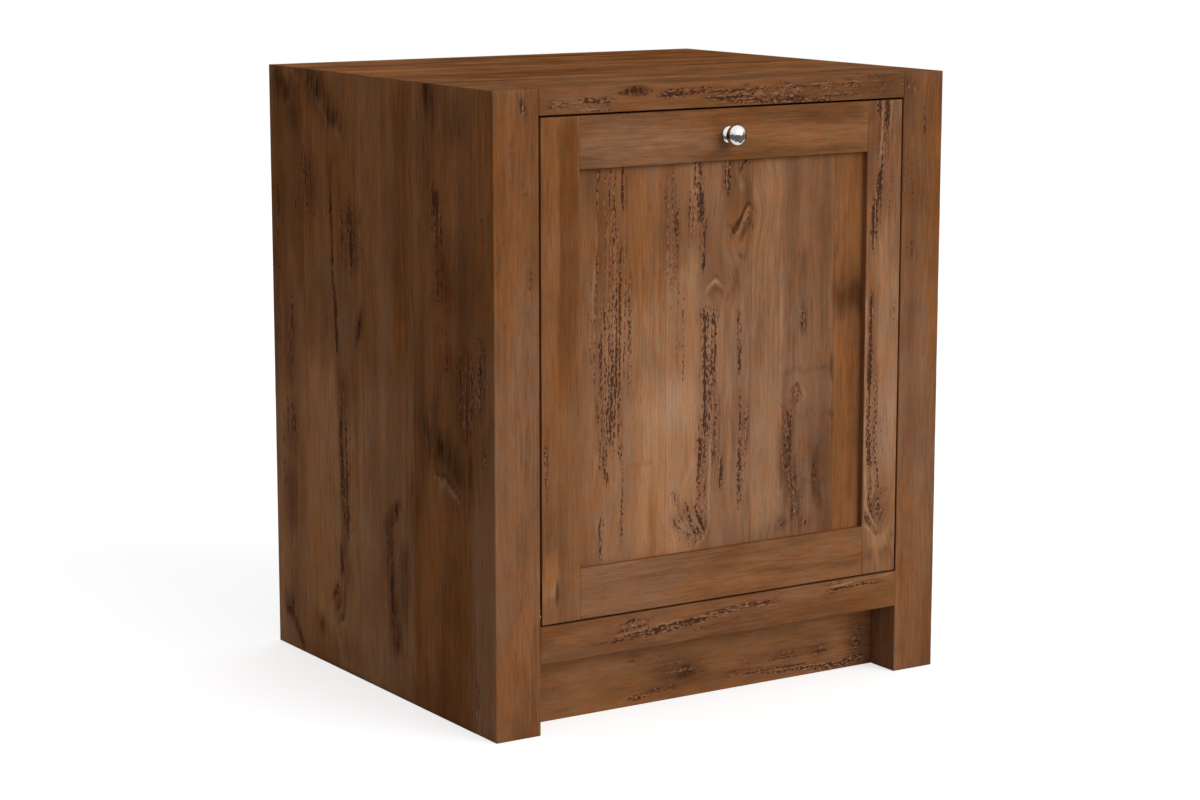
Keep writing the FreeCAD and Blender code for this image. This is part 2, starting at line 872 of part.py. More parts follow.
def make_catch():
    catch_under = top_rail_under - size.catch_height
    body = box((-catch_side, catch_side), (catch_front, catch_back), (catch_under, top_rail_under))
    ear_side = catch_side + size.catch_ear
    ears = box((-ear_side, ear_side), (catch_front, catch_back), (catch_ear_under, top_rail_under))
    magnet_half = size.magnet_width / 2
    magnet_y = (catch_front, catch_front + size.magnet_depth)
    magnet_base = catch_under + size.magnet_rise
    magnet_z = (magnet_base, magnet_base + size.magnet_height)
    magnet = box((-magnet_half, magnet_half), magnet_y, magnet_z)
    pocket = box(
        widened((-magnet_half, magnet_half), size.press_fit),
        (magnet_y[0], magnet_y[1] + size.press_fit),
        widened(magnet_z, size.press_fit),
    )
    left_holes = group(*catch_holes)
    sub_part("catch_housing", cut(cut(fuse(body, ears), pocket), left_holes, mirrored(left_holes)))
    sub_part("catch_magnet", magnet)

    strike_side = size.strike_width / 2
    plate = box((-strike_side, strike_side), (door_back, strike_back), (strike_base, strike_top))
    left_holes = group(*strike_holes)
    sub_part("strike_plate", cut(plate, left_holes, mirrored(left_holes)))


def make_door_stops():
    pad_front = door_back + size.rest_gap
    stop_front = pad_front + size.pad_thick
    stop_top = door_top - size.stop_drop
    stop_x = (-opening, -(opening - size.stop_width))
    stop_z = (stop_top - size.stop_length, stop_top)
    pair("door_stop", box(stop_x, (stop_front, stop_front + size.stop_depth), stop_z))
    pad = box(
        widened(stop_x, -size.pad_margin),
        (pad_front, stop_front),
        widened(stop_z, -size.pad_margin),
    )
    sub_part("door_stop_pads", group(pad, mirrored(pad)))


def make_head_strip():
    """A strip under the top rail that closes the gap above the shut door."""
    strip_y = (post_back - size.head_strip_thick, post_back)
    strip_z = (top_rail_under - size.head_strip_height, top_rail_under)
    sub_part("door_head_strip", box((-opening, opening), strip_y, strip_z))


def knob_section(body):
    """Half of the knob: a flange and neck of straight lines and an oval head of three tangent arcs."""
    reach, head, rim = size.knob_reach.value, size.knob_head_radius.value, size.knob_rim_radius.value
    middle = reach - size.knob_head_thick.value / 2
    rim_out = head - rim
    half = reach - middle
    # The dome's centre lies on the axis, and its circle holds the rim's circle inside it.
    dome_drop = (rim_out**2 - (half - rim) ** 2) / (2 * (half - rim))
    dome = half + dome_drop
    lean = math.atan2(dome_drop, rim_out)
    neck = size.knob_neck_radius.value
    neck_top = middle + dome_drop - math.sqrt(dome**2 - neck**2)

    points = [
        (0, 0),
        (size.knob_flange_radius, 0),
        (size.knob_flange_radius, size.knob_flange_edge),
        (size.knob_neck_radius, size.knob_flange_rise),
    ]
    corners = [Vector(number(across), number(along), 0) for across, along in points]
    corners += [Vector(neck, neck_top, 0)]
    sketch = new_sketch(body, "section", "XZ_Plane")
    for start, end in zip(corners, corners[1:]):
        sketch.addGeometry(Part.LineSegment(start, end))
    arcs = [
        (Vector(0, middle + dome_drop, 0), dome, math.asin(neck / dome) - math.pi / 2, -lean),
        (Vector(rim_out, middle, 0), rim, -lean, lean),
        (Vector(0, middle - dome_drop, 0), dome, lean, math.pi / 2),
    ]
    for centre, radius, begins, ends in arcs:
        circle = Part.Circle(centre, Vector(0, 0, 1), radius)
        sketch.addGeometry(Part.ArcOfCircle(circle, begins, ends))
    sketch.addGeometry(Part.LineSegment(Vector(0, reach, 0), corners[0]))

    neck_line, under, edge, crown, axis = 3, 4, 5, 6, 7
    for line in range(neck_line):
        sketch.addConstraint(Sketcher.Constraint("Coincident", line, 2, line + 1, 1))
    sketch.addConstraint(Sketcher.Constraint("Coincident", neck_line, 2, under, 1))
    sketch.addConstraint(Sketcher.Constraint("Tangent", under, 2, edge, 1))
    sketch.addConstraint(Sketcher.Constraint("Tangent", edge, 2, crown, 1))
    sketch.addConstraint(Sketcher.Constraint("Coincident", crown, 2, axis, 1))
    sketch.addConstraint(Sketcher.Constraint("Coincident", axis, 2, 0, 1))
    sketch.addConstraint(Sketcher.Constraint("PointOnObject", under, 3, -2))
    sketch.addConstraint(Sketcher.Constraint("PointOnObject", crown, 3, -2))
    sketch.addConstraint(Sketcher.Constraint("Equal", under, crown))
    sketch.addConstraint(Sketcher.Constraint("Vertical", neck_line))
    for line, (across, along) in enumerate(points):
        hold_point(sketch, line, 1, across, along)
    rim_centre = size.knob_head_radius - size.knob_rim_radius
    hold_point(sketch, edge, 3, rim_centre, size.knob_reach - size.knob_head_thick / 2)
    hold(sketch, "Radius", edge, length=size.knob_rim_radius)
    hold_point(sketch, axis, 1, 0, size.knob_reach)
    return sketch


def make_knob():
    body = doc.addObject("PartDesign::Body", "knob_body")
    turned = body.newObject("PartDesign::Revolution", "turned")
    turned.Profile = knob_section(body)
    turned.ReferenceAxis = (turned.Profile[0], ["V_Axis"])
    body.Placement = FreeCAD.Placement(Vector(), TURNED_TO["-y"])
    place(body, y=front, z=knob_z)
    thread_end = front - size.knob_thread_depth
    thread = rod(
        "y", (thread_end, front), size.knob_screw_radius + size.screw_fit, x=middle_plane, z=knob_z
    )
    sub_part("knob", cut(body, thread))

    shank = rod("y", (thread_end + size.end_fit, door_back), size.knob_screw_radius, x=middle_plane, z=knob_z)
    head_back = door_back + size.knob_screw_head_height
    head = rod("y", (door_back, head_back), size.knob_screw_head_radius, x=middle_plane, z=knob_z)
    half = size.slot_width / 2
    slot = box(
        (-size.knob_screw_head_radius, size.knob_screw_head_radius),
        (head_back - size.slot_depth, head_back),
        (knob_z - half, knob_z + half),
    )
    sub_part("knob_screw", cut(fuse(shank, head), slot))


def make_screws():
    both_sides("hinge_frame_screws", hinge_frame_screws)
    both_sides("hinge_door_screws", hinge_door_screws)
    both_sides("stay_arm_screws", stay_arm_screws)
    both_sides("stay_guide_screws", stay_guide_screws)
    both_sides("catch_screws", catch_screws)
    both_sides("strike_screws", strike_screws)
    both_sides("plinth_screws", plinth_screws)
    both_sides("cleat_screws", cleat_up_screws + cleat_side_screws)
    both_sides("tie_bar_screws", tie_bar_screws)


def write_pieces():
    """Writes each sub-part's file, once every object has come out sound."""
    doc.recompute()
    failed = [thing.Name for thing in doc.Objects if {"Invalid", "Error"} & set(thing.State)]
    bad = [piece.Label for piece in pieces if piece.Shape.isNull() or not piece.Shape.isValid()]
    if failed or bad:
        raise RuntimeError(f"failed objects {failed}, unsound shapes {bad}")
    os.makedirs("parts", exist_ok=True)
    for piece in pieces:
        piece.Shape.exportStep(f"parts/{piece.Label}.step")


make_posts()
make_front_rails()
make_plinth()
make_sides()
make_top()
make_inner_frame()
make_door_frame()
make_panel()
make_hinges()
make_stays()
make_catch()
make_door_stops()
make_head_strip()
make_knob()
make_screws()
write_pieces()
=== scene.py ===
"""Looks of the distressed pine appliance cabinet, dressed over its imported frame.

X runs to the right, Y to the back and Z up. The marks in the wood are listed in millimetres, by their place
on a face that is seen square on; everything else is in metres.
"""

import json
import math

import bpy
import numpy as np
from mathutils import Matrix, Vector


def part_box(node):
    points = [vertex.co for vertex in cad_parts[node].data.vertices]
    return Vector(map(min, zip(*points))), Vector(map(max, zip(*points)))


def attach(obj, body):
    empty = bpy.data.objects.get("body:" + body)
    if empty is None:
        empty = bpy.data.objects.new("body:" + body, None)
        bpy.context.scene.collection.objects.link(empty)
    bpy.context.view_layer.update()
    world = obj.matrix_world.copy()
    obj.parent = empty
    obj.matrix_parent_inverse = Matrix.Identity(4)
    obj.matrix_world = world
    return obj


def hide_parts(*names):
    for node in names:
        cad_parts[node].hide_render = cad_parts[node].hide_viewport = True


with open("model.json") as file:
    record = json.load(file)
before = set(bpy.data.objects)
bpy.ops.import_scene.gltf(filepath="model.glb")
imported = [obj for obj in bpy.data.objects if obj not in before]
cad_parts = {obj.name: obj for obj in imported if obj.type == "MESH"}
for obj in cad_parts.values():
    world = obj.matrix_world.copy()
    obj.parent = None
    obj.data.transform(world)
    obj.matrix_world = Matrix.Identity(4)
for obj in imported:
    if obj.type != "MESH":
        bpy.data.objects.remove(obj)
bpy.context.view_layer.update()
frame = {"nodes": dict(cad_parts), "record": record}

MM = 0.001
X, Y, Z = 0, 1, 2

# camera, solved from the cabinet's corners and edges
CAMERA_PLACE = (-2.3608, -3.6651, 1.1811)
CAMERA_HEADING = 32.670
CAMERA_TILT = 10.182
CAMERA_LENS = 87.52
SENSOR_WIDTH = 36.0

# a broad key lamp from the front right and a weak one from behind: the way to each, its power and its spread
LAMPS = {
    "key": ((0.34, -0.80, 0.38), 1.70, 50.0),
    "rear": ((0.70, 0.66, 0.14), 0.9, 70.0),
}
# the even surround and the floor
SURROUND = 0.40
FLOOR_SIZE = 14.0
FLOOR_DROP = 0.0004
FLOOR_GLOW = 0.66
FLOOR_CAMERA_GREY = 0.72
FLOOR_BOUNCE_GREY = 0.48
WHITE = (1.0, 1.0, 1.0, 1.0)

# colours of the stained pine from dark to pale, as linear light, and the levels between which each takes over
UMBER = (0.112, 0.046, 0.019, 1.0)
BROWN = (0.195, 0.085, 0.037, 1.0)
FAWN = (0.280, 0.127, 0.057, 1.0)
TAN = (0.395, 0.190, 0.086, 1.0)
CREAM = (0.470, 0.255, 0.135, 1.0)
PALER = ((0.18, 0.42, BROWN), (0.38, 0.62, FAWN), (0.58, 0.90, TAN), (0.84, 1.20, CREAM))
# what warm, grey and stained wood do to those colours, and the dark of its hollows and of its figure
WARM_CAST = (1.03, 0.85, 0.53, 1.0)
GREY_CAST = (0.92, 1.02, 1.23, 1.0)
RED_STAIN = (1.04, 0.95, 0.88, 1.0)
GREY_STAIN = (0.97, 1.02, 1.10, 1.0)
HOLLOW = (0.047, 0.021, 0.014, 1.0)
FIGURE = (0.040, 0.018, 0.009, 1.0)
# torn grain: the cast of the wood about it, the waves per metre along and across the grain of its specks and
# of the columns that they lie in, how far the columns part the specks, how dark and soft the hollows are, and
# how strong the painted highlight along one edge of each hollow is: partly pale torn fibre, partly its lit
# wall
CRISP_TEAR = {
    "cast": (0.86, 0.80, 0.84, 1.0),
    "speck": (165, 390),
    "column": (6, 200),
    "parted": 0.38,
    "dark": 0.84,
    "soft": 0.046,
    "lip_and_highlight": 0.44,
}
SOFT_TEAR = {
    "cast": (0.84, 0.76, 0.76, 1.0),
    "speck": (105, 215),
    "column": (5, 85),
    "parted": 0.56,
    "dark": 0.72,
    "soft": 0.045,
    "lip_and_highlight": 0.30,
}
COLUMN_SHIFT = (5.3, 2.9, 8.1)
# how far the painted highlight's mask is shifted, so that it lies along one edge of each hollow as if that
# wall were lit
HIGHLIGHT_SHIFT = (0.0004, -0.0014, -0.0014)
TORN_FROM = 0.675


class Graph:
    """A node tree being drawn, with short ways to add a node and join it to others."""

    def __init__(self, tree):
        self.tree = tree
        tree.nodes.clear()

    def feed(self, socket, value):
        """Join a socket to another, or set it to a constant."""
        if isinstance(value, bpy.types.NodeSocket):
            self.tree.links.new(value, socket)
        elif value is not None:
            socket.default_value = value

    def add(self, kind, *inputs, **settings):
        """A new node with its first inputs fed in order."""
        node = self.tree.nodes.new("ShaderNode" + kind)
        for name, value in settings.items():
            setattr(node, name, value)
        for socket, value in zip(node.inputs, inputs):
            self.feed(socket, value)
        return node

    def math(self, operation, first, second=None, third=None, clamp=False):
        return self.add("Math", first, second, third, operation=operation, use_clamp=clamp).outputs[0]

    def times(self, first, second):
        return self.math("MULTIPLY", first, second)

    def plus(self, first, second, clamp=False):
        return self.math("ADD", first, second, clamp=clamp)

    def step(self, value, low, high, to_low=0.0, to_high=1.0):
        """A smooth rise from one level to another while the value goes from low to high."""
        node = self.add("MapRange", value, low, high, to_low, to_high, interpolation_type="SMOOTHSTEP")
        return node.outputs[0]

    def parts(self, vector):
        return self.add("SeparateXYZ", vector).outputs

    def join(self, *parts):
        return self.add("CombineXYZ", *parts).outputs[0]

    def scaled(self, vector, scale):
        return self.add("VectorMath", vector, scale, operation="MULTIPLY").outputs[0]

    def moved(self, vector, way):
        return self.add("VectorMath", vector, way, operation="ADD").outputs[0]

    def noise(self, place, along, across, detail=2.0, roughness=0.5, shift=None, third=None):
        """Even noise by its waves per metre along the first axis and across it; third sets the third axis."""
        if shift:
            place = self.moved(place, shift)
        node = self.add("TexNoise", self.scaled(place, (along, across, third or across)))
        for name, value in (("Scale", 1.0), ("Detail", detail), ("Roughness", roughness)):
            node.inputs[name].default_value = value
        return node.outputs[0]

    def mix(self, factor, first, second, blend="MIX"):
        node = self.add("Mix", data_type="RGBA", blend_type=blend)
        for index, value in ((0, factor), (6, first), (7, second)):
            self.feed(node.inputs[index], value)
        return node.outputs[2]

    def place(self):
        return self.add("TexCoord").outputs["Object"]

    def attribute(self, name):
        return self.add("Attribute", attribute_name=name).outputs["Vector"]

    def bump(self, height, distance, strength):
        node = self.add("Bump")
        node.inputs["Strength"].default_value = strength
        node.inputs["Distance"].default_value = distance
        self.feed(node.inputs["Height"], height)
        return node.outputs[0]

    def surface(self, colour, roughness, normal, metallic=0.0, specular=0.5):
        """End the tree in one surface shader."""
        shader = self.add("BsdfPrincipled")
        for name, value in (("Base Color", colour), ("Roughness", roughness), ("Normal", normal)):
            self.feed(shader.inputs[name], value)
        shader.inputs["Metallic"].default_value = metallic
        shader.inputs["Specular IOR Level"].default_value = specular
        self.end("Material", shader)

    def end(self, kind, shader):
        self.feed(self.add("Output" + kind).inputs["Surface"], shader.outputs[0])


def new_material(name):
    """A named material and the graph of its empty node tree."""
    material = bpy.data.materials.new(name)
    material.use_nodes = True
    return material, Graph(material.node_tree)


def new_object(name, data):
    """A named object in the scene."""
    thing = bpy.data.objects.new(name, data)
    bpy.context.scene.collection.objects.link(thing)
    return thing


# stage


def make_camera():
    data = bpy.data.cameras.new("photo_camera")
    data.sensor_width = SENSOR_WIDTH
    data.lens = CAMERA_LENS
    camera = new_object("photo_camera", data)
    camera.location = CAMERA_PLACE
    camera.rotation_euler = (math.radians(90.0 - CAMERA_TILT), 0.0, math.radians(-CAMERA_HEADING))
    bpy.context.scene.camera = camera


def make_lamps():
    """Soft, distant lamps that stand in the given directions."""
    for name, (towards, power, spread) in LAMPS.items():
        data = bpy.data.lights.new(name, "SUN")
        data.energy = power
        data.angle = math.radians(spread)
        lamp = new_object(name, data)
        lamp.rotation_mode = "QUATERNION"
        lamp.rotation_quaternion = (-Vector(towards)).to_track_quat("-Z", "Y")


def seen_rays(graph):
    """One for the rays by which the stage itself is seen: straight on, in a mirror or through glass."""
    path = graph.add("LightPath").outputs
    mirrored = graph.math("MAXIMUM", path["Is Glossy Ray"], path["Is Transmission Ray"])
    return graph.math("MAXIMUM", path["Is Camera Ray"], mirrored)


def make_surround():
    """White where it is seen, and a weak even light on the cabinet."""
    world = bpy.data.worlds.new("surround")
    world.use_nodes = True
    bpy.context.scene.world = world
    graph = Graph(world.node_tree)
    strength = graph.step(seen_rays(graph), 0.0, 1.0, SURROUND, 1.0)
    graph.end("World", graph.add("Background", WHITE, strength))


def make_floor():
    """A pale floor that keeps the cabinet's shadow."""
    half = FLOOR_SIZE / 2
    mesh = bpy.data.meshes.new("floor")
    corners = ((-1, -1), (1, -1), (1, 1), (-1, 1))
    mesh.from_pydata([(half * x, half * y, -FLOOR_DROP) for x, y in corners], [], [(0, 1, 2, 3)])
    material, graph = new_material("pale_floor")
    seen = seen_rays(graph)
    grey = graph.step(seen, 0.0, 1.0, FLOOR_BOUNCE_GREY, FLOOR_CAMERA_GREY)
    lit = graph.add("BsdfDiffuse", graph.add("CombineColor", grey, grey, grey).outputs[0])
    glow = graph.add("Emission", WHITE, graph.times(seen, FLOOR_GLOW))
    graph.end("Material", graph.add("AddShader", lit.outputs[0], glow.outputs[0]))
    mesh.materials.append(material)
    floor = new_object("floor", mesh)


# materials


def draw_pine(graph, grain, marks, tint, tear, finish=0.78, figure=1.0, contrast=1.0):
    """Stained pine: long bands and growth lines, with torn grain, dark figure and pale lips where marked.

    grain is the place in the wood with the grain along its first axis. marks holds torn grain, dark figure
    and pale lips; tint holds lightness, warmth and the distance from the heart of the tree. A figure below
    one is broader across the grain, and contrast sets how far its colours part.
    """
    torn, dark, pale = graph.parts(marks)
    tone, warm, ring = graph.parts(tint)
    ringed = graph.join(graph.parts(grain)[0], ring, 0.0)
    figured = graph.scaled(grain, (1.0, figure, figure))

    band = graph.noise(grain, 1.6, 24, 2.5)
    cloud = graph.noise(grain, 8, 19, 4.0, 0.55, (1.7, 6.1, 4.3))
    stain = graph.noise(figured, 36, 50, 2.5, 0.5, (6.4, 0.8, 2.2))
    plain = graph.noise(grain, 3, 13, shift=(8.6, 3.3, 5.9))
    hue = graph.noise(grain, 2.6, 15, shift=(3.1, 7.7, 1.9))
    growth = graph.noise(ringed, 1.1, 260)
    line = graph.noise(figured, 18, 230, 3.0, 0.6)
    fibre = graph.noise(grain, 30, 1300)
    fleck = graph.noise(figured, 42, 480, shift=(9.2, 1.4, 3.7))

    level = graph.math("MULTIPLY_ADD", graph.plus(cloud, band), 0.5 * contrast, 0.53 - 0.5 * contrast)
    level = graph.plus(level, tone)
    colour = UMBER
    for low, high, paler in PALER:
        colour = graph.mix(graph.step(level, low, high), colour, paler)
    reddish = graph.plus(warm, graph.step(hue, 0.50, 0.72, 0.0, 0.45), clamp=True)
    greyish = graph.math("SUBTRACT", graph.step(hue, 0.50, 0.28, 0.0, 0.40), warm, clamp=True)
    stained = graph.mix(graph.step(stain, 0.32, 0.68), GREY_STAIN, RED_STAIN)
    for share, cast in ((reddish, WARM_CAST), (greyish, GREY_CAST), (1.0, stained)):
        colour = graph.mix(share, colour, cast, "MULTIPLY")

    light = graph.plus(graph.step(growth, 0.32, 0.68, -0.08, 0.06), graph.step(line, 0.3, 0.7, -0.15, 0.12))
    strength = graph.step(plain, 0.35, 0.65, 0.30 * contrast, 1.10 * contrast)
    light = graph.math("MULTIPLY_ADD", light, strength, 1.0)
    light = graph.times(light, graph.step(fibre, 0.3, 0.7, 0.90, 1.09))
    light = graph.times(light, graph.step(fleck, 0.56, 0.72, 1.0, 0.80))
    lit = graph.add("VectorMath", colour, operation="SCALE")
    graph.feed(lit.inputs["Scale"], light)
    colour = graph.mix(graph.times(pale, graph.step(line, 0.30, 0.55, 0.35, 1.0)), lit.outputs[0], CREAM)
    colour = graph.mix(graph.times(dark, graph.step(line, 0.30, 0.62, 1.0, 0.70)), colour, FIGURE)

    hollow, lip_and_highlight = torn_masks(graph, grain, torn, tear)
    colour = graph.mix(graph.step(torn, 0.05, 0.9), colour, tear["cast"], "MULTIPLY")
    # painted highlight: cream along one edge of each hollow, partly pale torn fibre and partly standing in
    # for its lit wall
    colour = graph.mix(graph.times(lip_and_highlight, tear["lip_and_highlight"]), colour, CREAM)
    colour = graph.mix(graph.times(hollow, tear["dark"]), colour, HOLLOW)

    rough = graph.plus(graph.step(line, 0.3, 0.7, finish - 0.06, finish + 0.06), graph.times(hollow, 0.1))
    height = graph.plus(graph.times(line, 0.10), graph.times(fibre, 0.04))
    height = graph.math("SUBTRACT", height, graph.times(hollow, 0.9))
    graph.surface(colour, rough, graph.bump(height, 0.0010, 0.5), specular=0.0)


def torn_masks(graph, grain, torn, tear):
    """The hollows of torn grain, which lie in columns and close up where it is more torn, and a painted
    highlight on one edge of each.
    """

    def ragged(place):
        speck = graph.noise(place, *tear["speck"], 2.5, 0.6)
        column = graph.noise(place, *tear["column"], 1.0, shift=COLUMN_SHIFT)
        both = graph.math("MULTIPLY_ADD", speck, 1.0 - tear["parted"], graph.times(column, tear["parted"]))
        return graph.math("MULTIPLY_ADD", torn, 0.15, both)

    inside = graph.step(ragged(grain), TORN_FROM - tear["soft"], TORN_FROM + tear["soft"])
    hollow = graph.times(inside, graph.step(torn, 0.03, 0.20))
    # the painted highlight: the hollows' mask shifted a little, less the hollows themselves, leaves one
    # lit-looking edge
    beside = graph.step(ragged(graph.moved(grain, HIGHLIGHT_SHIFT)), 0.63, 0.69)
    beside = graph.times(beside, graph.step(torn, 0.25, 0.80))
    return hollow, graph.math("SUBTRACT", beside, hollow, clamp=True)


def make_pine(name, tear, figure=1.0, contrast=1.0):
    """Pine for boards that carry their own grain and marks."""
    material, graph = new_material(name)
    grain, marks, tint = (graph.attribute(layer) for layer in ("grain", "marks", "tint"))
    draw_pine(graph, grain, marks, tint, tear, figure=figure, contrast=contrast)
    return material


def make_plain_pine(name, axis):
    """Pine for small inner pieces, with the grain along one axis and only scattered torn grain."""
    material, graph = new_material(name)
    x, y, z = graph.parts(graph.place())
    order = ((x, y, z), (y, z, x), (z, x, y))[axis]
    grain = graph.join(*order)
    patches = graph.noise(grain, 3, 22)
    marks = graph.join(graph.step(patches, 0.56, 0.74, 0.0, 0.55), 0.0, 0.0)
    draw_pine(graph, grain, marks, graph.join(-0.06, 0.0, order[1]), SOFT_TEAR, 0.84)
    return material


def make_dowel_wood():
    """Pale beech with short dark flecks."""
    material, graph = new_material("dowel_beech")
    place = graph.place()
    fleck = graph.noise(place, 90, 900)
    wave = graph.noise(place, 20, 160, 3.0)
    colour = graph.mix(graph.step(wave, 0.3, 0.7), (0.40, 0.22, 0.105, 1.0), (0.56, 0.34, 0.18, 1.0))
    colour = graph.mix(graph.step(fleck, 0.62, 0.72, 0.0, 0.5), colour, (0.25, 0.11, 0.05, 1.0))
    graph.surface(colour, graph.step(wave, 0.3, 0.7, 0.55, 0.7), graph.bump(fleck, 0.0003, 0.4), specular=0.3)
    return material


def make_knob_metal_painted_reflection(axis_height, radius):
    """Polished plate with a painted reflection: pale on top, dark in a band under the knob's middle, lighter
    low down.
    """
    material, graph = new_material("plate_painted_reflection")
    place = graph.place()
    cloud = graph.noise(place, 75, 75, 3.0, 0.6)
    fine = graph.noise(place, 900, 900)
    above = graph.math("DIVIDE", graph.math("SUBTRACT", graph.parts(place)[2], axis_height), radius)
    above = graph.plus(above, graph.step(cloud, 0.3, 0.7, -0.30, 0.30))
    # painted reflection: the colour follows height on the knob, dark in a band under its middle, pale above
    # it and lighter low down
    painted_low_reflection = graph.step(above, -0.40, -0.60, 0.0, 0.75)
    painted_reflection = graph.plus(graph.step(above, -0.05, 0.45), painted_low_reflection, clamp=True)
    colour = graph.mix(painted_reflection, (0.085, 0.080, 0.074, 1.0), (0.86, 0.84, 0.80, 1.0))
    rough = graph.step(fine, 0.3, 0.7, 0.09, 0.17)
    graph.surface(colour, rough, graph.bump(fine, 0.00003, 0.1), metallic=1.0)
    return material


def make_metal(name, base, tarnish, polish, brushed, worn):
    """Metal with brushed lines, cloudy tarnish and a polish that varies a little."""
    material, graph = new_material(name)
    place = graph.place()
    cloud = graph.noise(place, 60, 60, 4.0, 0.6)
    brush = graph.noise(place, 2600, 180, third=2600)
    colour = graph.mix(graph.step(cloud, 0.48, 0.75, 0.0, worn), base, tarnish)
    rough = graph.step(graph.plus(cloud, graph.times(brush, brushed)), 0.3, 0.8 + brushed, *polish)
    graph.surface(colour, rough, graph.bump(brush, 0.00004, brushed), metallic=1.0)
    return material


def make_moulded(name, base, deep, fineness, roughness):
    """A moulded or pressed material with a fine even grain."""
    material, graph = new_material(name)
    place = graph.place()
    grain = graph.noise(place, fineness, fineness, 3.0, 0.6)
    cloud = graph.noise(place, 45, 45)
    colour = graph.mix(graph.step(graph.times(grain, cloud), 0.12, 0.40), deep, base)
    rough = graph.step(grain, 0.3, 0.7, roughness - 0.08, roughness + 0.08)
    graph.surface(colour, rough, graph.bump(grain, 0.0001, 0.5), specular=0.4)
    return material


# marks in the wood


def rise(value, low, high):
    """A smooth rise from nought to one while the value goes from low to high."""
    part = np.clip((value - low) / (high - low), 0.0, 1.0)
    return part * part * (3.0 - 2.0 * part)


def even_noise(first, second, seed):
    """Smooth noise from nought to one over two coordinates, with one wave per unit."""
    size = 64
    table = np.random.default_rng(seed).random((size, size))
    column, row = np.floor(first).astype(int), np.floor(second).astype(int)
    part_a, part_b = rise(first - column, 0.0, 1.0), rise(second - row, 0.0, 1.0)

    def between(at):
        return table[column % size, at % size] * (1 - part_a) + table[(column + 1) % size, at % size] * part_a

    return between(row) * (1 - part_b) + between(row + 1) * part_b


class Field:
    """What the marks do to the wood at a face's points, which are places in millimetres on its two axes.

    The marks see the points a little out of place, so that no mark has a ruled edge.
    """

    SWAY_ACROSS, SWAY_ALONG = 2.8, 8.0

    def __init__(self, a, b, along, seed):
        self.grain_a, self.grain_b = a.copy(), b.copy()
        self.along, self.seed = along, seed
        self.run, self.cross = (a, b) if along == 0 else (b, a)
        sway_run = self.SWAY_ALONG * self.uneven(46.0, 13.0, 1)
        sway_cross = self.SWAY_ACROSS * (self.uneven(84.0, 24.0, 2) + 0.35 * self.uneven(14.0, 6.0, 3))
        self.a, self.b = (a + sway_run, b + sway_cross) if along == 0 else (a + sway_cross, b + sway_run)
        self.torn, self.dark, self.pale, self.tone, self.warm = (np.zeros(a.shape) for _ in range(5))

    def uneven(self, wave_along, wave_across, key):
        """Noise from minus one to one with its own wave lengths along and across the grain."""
        return 2.0 * even_noise(self.run / wave_along, self.cross / wave_across, self.seed + 17 * key) - 1.0

    def lay(self, layer, value):
        """Lay a mark over what is there: the stronger of the two shows."""
        setattr(self, layer, np.maximum(getattr(self, layer), value))

    def mottle(self):
        """Break up the dark and pale marks, so that they come out streaky."""
        streaks = 1.0 + 0.45 * self.uneven(26.0, 4.0, 4) + 0.25 * self.uneven(8.0, 5.0, 5)
        self.dark *= np.clip(streaks, 0.0, 1.25)
        self.pale *= np.clip(1.0 + 0.55 * self.uneven(30.0, 3.5, 6), 0.0, 1.3)
        self.torn *= 1.0 + 0.22 * self.uneven(24.0, 9.0, 7)


def along_path(points, a, b):
    """Distance from a bent line, the place along it and the line's length."""
    gap, run, travelled = np.full(a.shape, 1e9), np.zeros(a.shape), 0.0
    for (a0, b0), (a1, b1) in zip(points, points[1:]):
        way_a, way_b = a1 - a0, b1 - b0
        length = math.hypot(way_a, way_b)
        part = np.clip(((a - a0) * way_a + (b - b0) * way_b) / length**2, 0.0, 1.0)
        off = np.hypot(a - a0 - part * way_a, b - b0 - part * way_b)
        nearer = off < gap
        gap = np.where(nearer, off, gap)
        run = np.where(nearer, travelled + part * length, run)
        travelled += length
    return gap, run, travelled


class Tear:
    """Grain torn out along a bent line: its width, its strength and its points, as a, b, a, b and so on.

    A broad one has soft edges and ends.
    """

    LAYER, FADE, BROAD = "torn", 18.0, 40.0

    def __init__(self, width, strength, *path):
        self.width, self.strength = width, strength
        self.points = list(zip(path[::2], path[1::2]))

    def draw(self, field):
        gap, run, length = along_path(self.points, field.a, field.b)
        soft = min(1.0, self.width / self.BROAD) ** 2
        from_end = np.minimum(run, length - run) / (self.FADE * (1.0 + soft))
        ends = np.clip(from_end + 0.35 * (1.0 - soft), 0.0, 1.0)
        outer, inner = 0.62 + 0.30 * soft, 0.25 * (1.0 - soft)
        field.lay(self.LAYER, self.strength * ends * rise(-gap, -outer * self.width, -inner * self.width))


class Lip(Tear):
    """A pale strip of lifted grain along a bent line."""

    LAYER, FADE = "pale", 10.0


class Line(Tear):
    """A soft dark line in the figure."""

    LAYER = "dark"


class Blot:
    """A soft dark stain: its middle, half sizes, darkness, turn in degrees and torn grain."""

    def __init__(self, a, b, half_a, half_b, dark, turn=0.0, torn=0.0):
        self.at, self.half = (a, b), (half_a, half_b)
        self.dark, self.turn, self.torn = dark, math.radians(turn), torn

    def places(self, field, turn):
        """Places from the middle along axes turned so far, and how many half sizes off they are."""
        c, s = math.cos(turn), math.sin(turn)
        off_a, off_b = field.a - self.at[0], field.b - self.at[1]
        off_a, off_b = off_a * c + off_b * s, off_b * c - off_a * s
        return off_a, off_b, np.hypot(off_a / self.half[0], off_b / self.half[1])

    def draw(self, field):
        spread = np.exp(-1.2 * self.places(field, self.turn)[2] ** 2)
        field.lay("dark", self.dark * spread)
        field.lay("torn", self.torn * spread)


